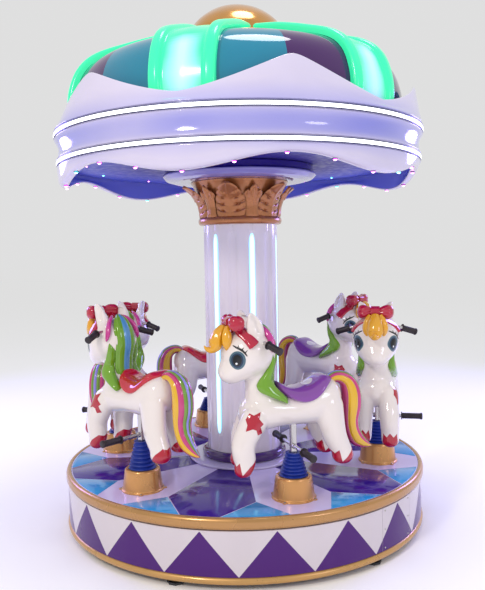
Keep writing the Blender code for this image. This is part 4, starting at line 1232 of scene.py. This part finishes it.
hair = {
    # The mane's blue is a painted reflection: a band along the back edge of the green ridge
    "green": "6B9E1C", "pink": "C4358C", "blue": "4E8EC4", "forelock": "E2A31C",
    # Strands run round a lock from its front or inner edge; a crease is where one meets the next, in degrees
    "tailColours": ("A82A66", "E0B01C", "C23878", "6E9630", "9288DC"), "tailCreases": (52, 112, 146, 168),
    "ridgeCreases": (108, 158), "swooshCreases": (60, 120), "creaseWidth": 7.5, "lobeDepth": 0.026,
    # Along the tail: x, z, half width and half thickness
    "tail": ((-0.172, 0.520, 0.020, 0.026), (-0.205, 0.534, 0.026, 0.032), (-0.240, 0.529, 0.031, 0.038),
             (-0.272, 0.503, 0.040, 0.044), (-0.288, 0.455, 0.048, 0.048), (-0.289, 0.395, 0.050, 0.048),
             (-0.283, 0.335, 0.040, 0.044), (-0.290, 0.285, 0.038, 0.040), (-0.312, 0.243, 0.038, 0.034),
             (-0.345, 0.216, 0.026, 0.024), (-0.374, 0.202, 0.013, 0.013), (-0.391, 0.197, 0.003, 0.004)),
    "ridge": ((0.152, 0.792, 0.008, 0.014), (0.134, 0.768, 0.020, 0.038), (0.114, 0.720, 0.028, 0.056),
              (0.104, 0.660, 0.028, 0.058), (0.112, 0.600, 0.024, 0.052), (0.118, 0.545, 0.026, 0.050),
              (0.108, 0.506, 0.022, 0.040), (0.098, 0.482, 0.006, 0.010)),
    # Behind each ear, down to the jaw: x, y, z, half width and half thickness
    "strip": ((0.166, 0.026, 0.788, 0.006, 0.006), (0.149, 0.048, 0.774, 0.012, 0.009),
              (0.133, 0.072, 0.747, 0.014, 0.011), (0.123, 0.084, 0.714, 0.014, 0.011),
              (0.122, 0.091, 0.690, 0.009, 0.008), (0.125, 0.095, 0.676, 0.002, 0.003)),
    # Down the side lobe: z, middle x, half width, outer y
    "lobe": ((0.672, 0.122, 0.003, 0.080), (0.640, 0.120, 0.012, 0.088), (0.613, 0.126, 0.017, 0.090),
             (0.589, 0.134, 0.022, 0.090), (0.563, 0.148, 0.027, 0.090), (0.545, 0.151, 0.035, 0.092),
             (0.528, 0.150, 0.042, 0.095), (0.505, 0.134, 0.046, 0.100), (0.485, 0.106, 0.038, 0.104),
             (0.468, 0.082, 0.026, 0.105), (0.455, 0.066, 0.011, 0.101), (0.449, 0.061, 0.003, 0.096)),
    # Forelock: the front swoosh, then the curl beside it
    "swoosh": ((0.318, 0.0, 0.792, 0.012, 0.018), (0.338, 0.0, 0.764, 0.022, 0.030),
               (0.350, 0.0, 0.734, 0.028, 0.036), (0.356, 0.0, 0.708, 0.029, 0.036),
               (0.375, 0.0, 0.692, 0.017, 0.024), (0.393, 0.0, 0.697, 0.009, 0.012),
               (0.404, 0.0, 0.710, 0.002, 0.003)),
    "curl": ((0.304, 0.022, 0.788, 0.012, 0.012), (0.311, 0.034, 0.762, 0.020, 0.019),
             (0.314, 0.040, 0.732, 0.022, 0.021), (0.315, 0.041, 0.708, 0.016, 0.016),
             (0.317, 0.040, 0.690, 0.003, 0.004)),
}


def lockInto(bm, stations, creases=(), paints=(0,), groove=0.09, count=72, side=1):
    # A lock of hair: rings square to its path, creased where its strands meet.
    # A station holds x, y, z, half width in the XZ plane and half thickness across it.
    line = smoothLine(stations, 7)
    rings = []
    for i, (x, y, z, half, thick) in enumerate(line):
        along = runAt(line, i).normalized()
        across = along.cross(Vector((0, 1, 0))).normalized()
        beside = across.cross(along).normalized()
        ring = []
        for k in range(count):
            angle = 360 * k / count
            folded = min(angle, 360 - angle)
            size = 1 - groove * sum(swell(folded - crease, hair["creaseWidth"]) for crease in creases)
            point = Vector((x, y, z)) + across * half * size * math.cos(math.radians(angle))
            ring.append(mirrored(point + beside * thick * size * math.sin(math.radians(angle)), side))
        rings.append(ring)

    def strandOf(row, i):
        angle = 360 * (i + 0.5) / count
        return paints[sum(min(angle, 360 - angle) > crease for crease in creases)]

    skinRings(bm, rings, strandOf)


def lobeInto(bm, side):
    rings = []
    for z, x, half, outer in smoothLine(hair["lobe"]):
        depth = hair["lobeDepth"] if half > 0.012 else max(0.004, half * 2)
        rings.append([Vector((x + half * across, side * (outer - depth + depth * out), z))
                      for across, out in oval((0, 0), 1, 1)])
    skinRings(bm, rings, 2)


def hairMeshes():
    bm = bmesh.new()
    tail = [(x, 0.0, z, half, thick) for x, z, half, thick in hair["tail"]]
    lockInto(bm, tail, hair["tailCreases"], (0, 1, 2, 3, 4), 0.12)
    tailLock = finishMesh(bm, "tail_lock")

    bm = bmesh.new()
    ridge = [(x, 0.0, z, half, thick) for x, z, half, thick in hair["ridge"]]
    # Green ridge, with a painted blue reflection along its back edge past the last crease
    lockInto(bm, ridge, hair["ridgeCreases"], (2, 2, 1), 0.10)
    for side in (-1, 1):
        lobeInto(bm, side)
        lockInto(bm, hair["strip"], side=side, count=32)
    maneLocks = finishMesh(bm, "mane_locks")

    bm = bmesh.new()
    lockInto(bm, hair["swoosh"], hair["swooshCreases"], (0, 0, 0), 0.06, 48)
    for side in (-1, 1):
        lockInto(bm, hair["curl"], side=side, count=40)
    return tailLock, maneLocks, finishMesh(bm, "forelock_curls")


bow = {
    "red": "B20C34", "folds": 4,
    # Out along a loop: y, x, z and half sizes
    "loop": ((0.010, 0.289, 0.806, 0.013, 0.016), (0.024, 0.287, 0.806, 0.019, 0.022),
             (0.040, 0.283, 0.806, 0.027, 0.030), (0.056, 0.278, 0.805, 0.033, 0.035),
             (0.070, 0.274, 0.804, 0.033, 0.034), (0.080, 0.271, 0.803, 0.027, 0.027),
             (0.086, 0.269, 0.803, 0.016, 0.016), (0.088, 0.268, 0.803, 0.004, 0.004)),
    # Band down the cheek: the front and the rear edge of each crossing, as x and z
    "ribbon": (((0.280, 0.772), (0.254, 0.802)), ((0.268, 0.750), (0.233, 0.786)),
               ((0.248, 0.721), (0.210, 0.760)), ((0.237, 0.702), (0.192, 0.731)),
               ((0.2350, 0.6985), (0.1895, 0.7275))),
    "ribbonThick": 0.0105, "ribbonSink": 0.006, "across": 12,
    "knot": (0.290, 0.807), "knotHalf": (0.021, 0.024),
    "knotSteps": (-0.021, -0.019, -0.012, 0.0, 0.012, 0.019, 0.021),
}


def headSide(x, z):
    # Half width of the round head at x, z
    middleX, middleY, middleZ, halfX, halfY, halfZ = pony["head"][0]
    inside = 1 - ((x - middleX) / halfX) ** 2 - ((z - middleZ) / halfZ) ** 2
    return halfY * math.sqrt(max(inside, 0.12))


def bowMesh():
    bm = bmesh.new()
    for side in (-1, 1):
        rings = []
        for y, x, z, halfX, halfZ in smoothLine(bow["loop"]):
            deep = 0.22 - 0.10 * min(1.0, y / 0.08)
            ring = []
            for angle in fullTurn(60):
                size = 1 - deep * (1 - abs(math.sin(angle * bow["folds"] / 2))) ** 2
                wide, tall = halfX * size * math.cos(angle), halfZ * size * math.sin(angle)
                ring.append(Vector((x + wide, side * y, z + tall)))
            rings.append(ring)
        skinRings(bm, rings)
        rings = []
        for front, rear in bow["ribbon"]:
            upper, lower = [], []
            for k in range(bow["across"] + 1):
                share = k / bow["across"]
                x, z = between(front, rear, share)
                y = headSide(x, z)
                crown = bow["ribbonThick"] * (1 - abs(2 * share - 1) ** 4)
                upper.append(Vector((x, side * (y + 0.0005 + crown), z)))
                lower.append(Vector((x, side * (y - bow["ribbonSink"]), z)))
            rings.append(upper + lower[::-1])
        skinRings(bm, rings)
    middleX, middleZ = bow["knot"]
    halfX, halfZ = bow["knotHalf"]
    rings = []
    for y in bow["knotSteps"]:
        ring = []
        for angle in fullTurn(48):
            size = 1 - 0.05 * math.cos(6 * angle) - 6.0 * abs(y) ** 1.8
            wide, tall = halfX * size * math.cos(angle), halfZ * size * math.sin(angle)
            ring.append(Vector((middleX + wide, y, middleZ + tall)))
        rings.append(ring)
    skinRings(bm, rings)
    return finishMesh(bm, "bow_folds")


saddle = {
    "purple": "83459E", "red": "C0102E",
    # Along the saddle: x, top z, edge z and half width
    "stations": ((0.091, 0.536, 0.524, 0.010), (0.086, 0.541, 0.516, 0.030), (0.076, 0.540, 0.503, 0.052),
                 (0.060, 0.530, 0.487, 0.070), (0.035, 0.519, 0.470, 0.083), (0.005, 0.514, 0.456, 0.090),
                 (-0.030, 0.515, 0.449, 0.094), (-0.065, 0.524, 0.456, 0.096), (-0.095, 0.540, 0.474, 0.094),
                 (-0.120, 0.553, 0.497, 0.088), (-0.142, 0.558, 0.517, 0.076), (-0.160, 0.554, 0.527, 0.058),
                 (-0.174, 0.546, 0.532, 0.034), (-0.180, 0.540, 0.535, 0.010)),
    "bead": 0.0055, "dish": 0.006, "underIn": 0.010, "underDrop": 0.008,
}


def saddleMesh():
    rings = []
    for x, top, edge, half in smoothLine(saddle["stations"], 5):
        ring = []
        for k in range(25):
            angle = math.radians(-90 + 7.5 * k)
            lean = abs(math.sin(angle))
            rim = saddle["bead"] * swell(1 - lean, 0.07) * min(1.0, half / 0.04)
            dish = saddle["dish"] * math.cos(angle) ** 6 * min(1.0, half / 0.05)
            y = (half + rim) * math.copysign(lean ** 0.85, math.sin(angle))
            z = edge + (top - edge) * max(0.0, math.cos(angle)) ** 0.9 - dish + rim * 0.3
            ring.append(Vector((x, y, z)))
        under = edge - saddle["underDrop"] * min(1.0, half / 0.03)
        ring += [Vector((x, (half - saddle["underIn"]) * s, under)) for s in (0.96, 0.5, 0, -0.5, -0.96)]
        rings.append(ring)
    bm = bmesh.new()
    skinRings(bm, rings)
    return finishMesh(bm, "saddle_pad")


face = {
    "eye": (0.2795, 0.6505), "eyeHalf": (0.0290, 0.0390),
    # The eye from its rim in to the pupil: shift in x and z, shares of the half sizes, how far it stands out
    "layers": ((0.0, 0.0, 1.04, 1.03, 0.0008), (0.0, 0.0, 1.0, 1.0, 0.0014),
               (0.0015, -0.0005, 0.76, 0.80, 0.0019), (0.0020, 0.0, 0.56, 0.62, 0.0024)),
    "glintAt": (0.005, -0.0135), "glintHalf": (0.0040, 0.0046), "glintLift": 0.0030,
    "rim": "B9C4C8", "iris": "3F5F70", "ring": "16304E", "deep": "0B0F18", "glint": "F4F8FC",
    "lash": "120C10",
    "star": ((0.250, 0.394), (0.232, 0.419), (0.217, 0.411), (0.184, 0.422), (0.195, 0.395), (0.175, 0.371),
             (0.190, 0.360), (0.180, 0.331), (0.203, 0.326), (0.210, 0.348), (0.226, 0.355), (0.256, 0.347),
             (0.247, 0.372)),
    "starMiddle": (0.215, 0.378), "starBack": 0.016, "starLift": 0.0018,
    "patchSink": 0.002, "strokeLift": 0.0009, "strokeSink": 0.0012,
    "lashLine": ((0.294, 0.7130), (0.284, 0.7050), (0.269, 0.6970), (0.256, 0.6855), (0.2450, 0.6690)),
    "lashWidth": 0.0018, "lashSwell": 0.0028,
    "spikes": (((0.279, 0.7010), (0.273, 0.7150)), ((0.265, 0.6930), (0.256, 0.7060)),
               ((0.254, 0.6820), (0.242, 0.6950))),
    "spikeWidth": 0.0034,
}


def sidePoint(surface, x, z, side, lift):
    # The point on the moulding seen from that side, raised off it; one past the chest is drawn back onto it
    for step in range(40):
        start = Vector((x - 0.002 * step, side * 0.4, z))
        hit, normal = surface.ray_cast(start, Vector((0, -side, 0)))[:2]
        if hit is not None and hit.y * side > 0.020:
            break
    return hit + normal * lift


def patchInto(bm, surface, outline, centre, side, lift, paint, rings=6):
    # A thin raised patch that follows the moulding, its rim turned down into it
    def laid(points, rise):
        return [bm.verts.new(sidePoint(surface, x, z, side, rise)) for x, z in points]

    loops = []
    for ring in range(1, rings + 1):
        t = ring / rings
        loops.append(laid([between(centre, point, t) for point in outline], lift * (1 - 0.25 * t ** 4)))
    loops.append(laid(outline, -face["patchSink"]))
    middle = laid([centre], lift)[0]
    count = len(outline)
    for i in range(count):
        bm.faces.new((middle, loops[0][i], loops[0][(i + 1) % count])).material_index = paint
    for lower, upper in zip(loops, loops[1:]):
        for i in range(count):
            j = (i + 1) % count
            bm.faces.new((lower[i], lower[j], upper[j], upper[i])).material_index = paint
    bm.faces.new([bm.verts.new(vert.co) for vert in loops[-1]]).material_index = paint


def strokeOutline(points, widths):
    # A painted stroke as a closed outline about its middle line
    left, right = [], []
    for i, ((x, z), width) in enumerate(zip(points, widths)):
        along = runAt(points, i, 2).normalized()
        left.append((x - along.y * width, z + along.x * width))
        right.append((x + along.y * width, z - along.x * width))
    return left + right[::-1]


def strokeInto(bm, surface, points, widths, side, paint):
    # The stroke stands a hair proud of the moulding and its back lies inside it
    outline = strokeOutline(points, widths)
    top, low = [[bm.verts.new(sidePoint(surface, x, z, side, rise)) for x, z in outline]
                for rise in (face["strokeLift"], -face["strokeSink"])]
    count = len(outline)
    for loop in (top, low):
        for i in range(count // 2 - 1):
            corners = (loop[i], loop[i + 1], loop[count - 2 - i], loop[count - 1 - i])
            bm.faces.new(corners).material_index = paint
    for i in range(count):
        j = (i + 1) % count
        bm.faces.new((top[i], top[j], low[j], low[i])).material_index = paint


def faceMesh(surface):
    bm = bmesh.new()
    eyeX, eyeZ = face["eye"]
    halfX, halfZ = face["eyeHalf"]
    lash = smoothLine(face["lashLine"])
    last = len(lash) - 1
    widths = [face["lashWidth"] + face["lashSwell"] * math.sin(math.pi * i / last) for i in range(last + 1)]
    widths[0] = 0.0004
    for side in (-1, 1):
        for paint, (dx, dz, wide, tall, lift) in enumerate(face["layers"]):
            centre = (eyeX + dx, eyeZ + dz)
            patchInto(bm, surface, oval(centre, halfX * wide, halfZ * tall), centre, side, lift, paint)
        glint = (eyeX + face["glintAt"][0], eyeZ + face["glintAt"][1])
        spot = oval(glint, *face["glintHalf"], 24)
        patchInto(bm, surface, spot, glint, side, face["glintLift"], 4, rings=3)
        strokeInto(bm, surface, lash, widths, side, 5)
        for start, end in face["spikes"]:
            shares = [t / 5 for t in range(6)]
            strokeInto(bm, surface, [between(start, end, share) for share in shares],
                       [face["spikeWidth"] * (1.05 - share) for share in shares], side, 5)
        back = face["starBack"] if side < 0 else 0.0
        star = [(x - back, z) for x, z in face["star"]]
        edge = [between(a, b, t / 4) for a, b in zip(star, star[1:] + star[:1]) for t in range(4)]
        middle = (face["starMiddle"][0] - back, face["starMiddle"][1])
        patchInto(bm, surface, edge, middle, side, face["starLift"], 6)
    return finishMesh(bm, "face_paint")


def makePonies():
    coat = gelcoat("pony white", pony["white"], 0.09, drift=0.035, wave=0.10, paint=hoofPaint)
    body = ponyBody()
    bm = bmesh.new()
    bm.from_mesh(body)
    surface = BVHTree.FromBMesh(bm)
    bm.free()
    tail, mane, forelock = hairMeshes()
    bowFolds, faceMarks = bowMesh(), faceMesh(surface)
    tailPaints = [gelcoat(f"tail strand {i + 1}", colour, 0.10)
                  for i, colour in enumerate(hair["tailColours"])]
    # The blue of these paints a reflection along the ridge's back edge
    manePaints = [gelcoat(f"mane {name}", hair[name], 0.10) for name in ("pink", "blue", "green")]
    gold = gelcoat("forelock gold", hair["forelock"], 0.10)
    red = gelcoat("bow red", bow["red"], 0.08)
    marks = [gelcoat("eye rim", face["rim"], 0.12), gelcoat("eye iris", face["iris"], 0.05, drift=0.25),
             gelcoat("eye ring", face["ring"], 0.05, drift=0.25, coat=0.2),
             gelcoat("eye pupil", face["deep"], 0.04, coat=0.0),
             gelcoat("eye glint", face["glint"], 0.04), gelcoat("lash black", face["lash"], 0.2),
             gelcoat("star red", pony["red"], 0.08)]
    saddles = [(saddleMesh(), gelcoat(f"saddle {name}", saddle[name], 0.08)) for name in ("purple", "red")]
    print("pony forms made")
    for seat in seats:
        pad, padPaint = saddles[(seat + 1) % 2]
        forms = (("moulding", body, [coat], 180), ("tail", tail, tailPaints, 60),
                 ("mane", mane, manePaints, 60), ("forelock", forelock, [gold], 60),
                 ("bow", bowFolds, [red], 60), ("saddle", pad, [padPaint], 60),
                 ("face", faceMarks, marks, 50))
        for name, mesh, paints, sharp in forms:
            replaced = [f"pony_{seat}"] if name == "moulding" else []
            addPiece(f"{name}_{seat}", mesh, f"pony_{seat}", paints, replaced,
                     seatMatrix(seat, seatLift(seat)), sharp)
    print("ponies made")


# Floor, lights and camera
studio = {
    "floor": "FFFFFF", "floorHalf": 40.0, "sky": "FFFFFF", "skyPower": 0.74, "aimHeight": 1.2,
    "lights": (("key", (-2.4, -4.4, 4.0), 0.9, 84, "FFF6EE"), ("fill", (3.4, -3.8, 2.6), 1.2, 26, "E4E0FF"),
               ("top", (0.5, -0.4, 5.6), 1.6, 50, "FFFFFF"),
               ("left back", (-3.8, 2.4, 2.4), 1.6, 76, "9A8CFF"),
               ("right back", (3.8, 2.4, 2.4), 1.6, 96, "9A8CFF")),
    "place": (0.0, -3.776, 1.412), "yaw": 0.0015, "pitch": -0.0596, "roll": -0.0189, "focal": 696.6,
    "frameHeight": 590, "sensor": 36.0,
}


def makeStudio():
    material, tree, shader = blankMaterial("studio floor")
    cloud = noise(tree, objectPlace(tree), 0.6, 2)
    feedAll(tree, shader, {"Base Color": mixColour(tree, cloud, *tones(srgb(studio["floor"]), 0.01)),
                           "Roughness": 0.9, "Specular IOR Level": 0.0})
    half = studio["floorHalf"]
    corners = [(-half, -half, 0), (half, -half, 0), (half, half, 0), (-half, half, 0)]
    mesh = bpy.data.meshes.new("floor")
    mesh.from_pydata(corners, [], [(0, 1, 2, 3)])
    mesh.materials.append(material)
    floor = bpy.data.objects.new("floor", mesh)
    bpy.context.scene.collection.objects.link(floor)

    bpy.context.scene.view_settings.view_transform = "Standard"
    world = bpy.data.worlds.new("studio")
    world.use_nodes = True
    sky = world.node_tree.nodes["Background"]
    sky.inputs["Color"].default_value = (*srgb(studio["sky"]), 1)
    sky.inputs["Strength"].default_value = studio["skyPower"]
    bpy.context.scene.world = world
    for name, place, size, power, colour in studio["lights"]:
        light = bpy.data.lights.new(name, "AREA")
        light.shape = "DISK"
        light.size = size
        light.energy = power
        light.color = srgb(colour)
        holder = bpy.data.objects.new(name, light)
        holder.location = place
        aim = Vector((0, 0, studio["aimHeight"])) - Vector(place)
        holder.rotation_euler = aim.to_track_quat("-Z", "Y").to_euler()
        bpy.context.scene.collection.objects.link(holder)
    print("studio made")


def makeCamera():
    yaw, pitch, roll = studio["yaw"], studio["pitch"], studio["roll"]
    forward = Vector((math.sin(yaw) * math.cos(pitch), math.cos(yaw) * math.cos(pitch), math.sin(pitch)))
    right = Vector((math.cos(yaw), -math.sin(yaw), 0))
    up = right.cross(forward)
    leanRight = right * math.cos(roll) + up * math.sin(roll)
    leanUp = up * math.cos(roll) - right * math.sin(roll)
    data = bpy.data.cameras.new("camera")
    data.sensor_width = studio["sensor"]
    data.lens = studio["focal"] / studio["frameHeight"] * studio["sensor"]
    camera = bpy.data.objects.new("camera", data)
    turn = Matrix((leanRight, leanUp, -forward)).transposed().to_4x4()
    camera.matrix_world = Matrix.Translation(studio["place"]) @ turn
    bpy.context.scene.collection.objects.link(camera)
    bpy.context.scene.camera = camera
    print("camera made")


makeCamera()
makeBase()
makeDeck()
makeCups()
makeColumn()
makeCeiling()
makeValance()
makeBands()
makeDots()
makeDome()
makeArches()
makeSeatSteel()
makePonies()
makeStudio()
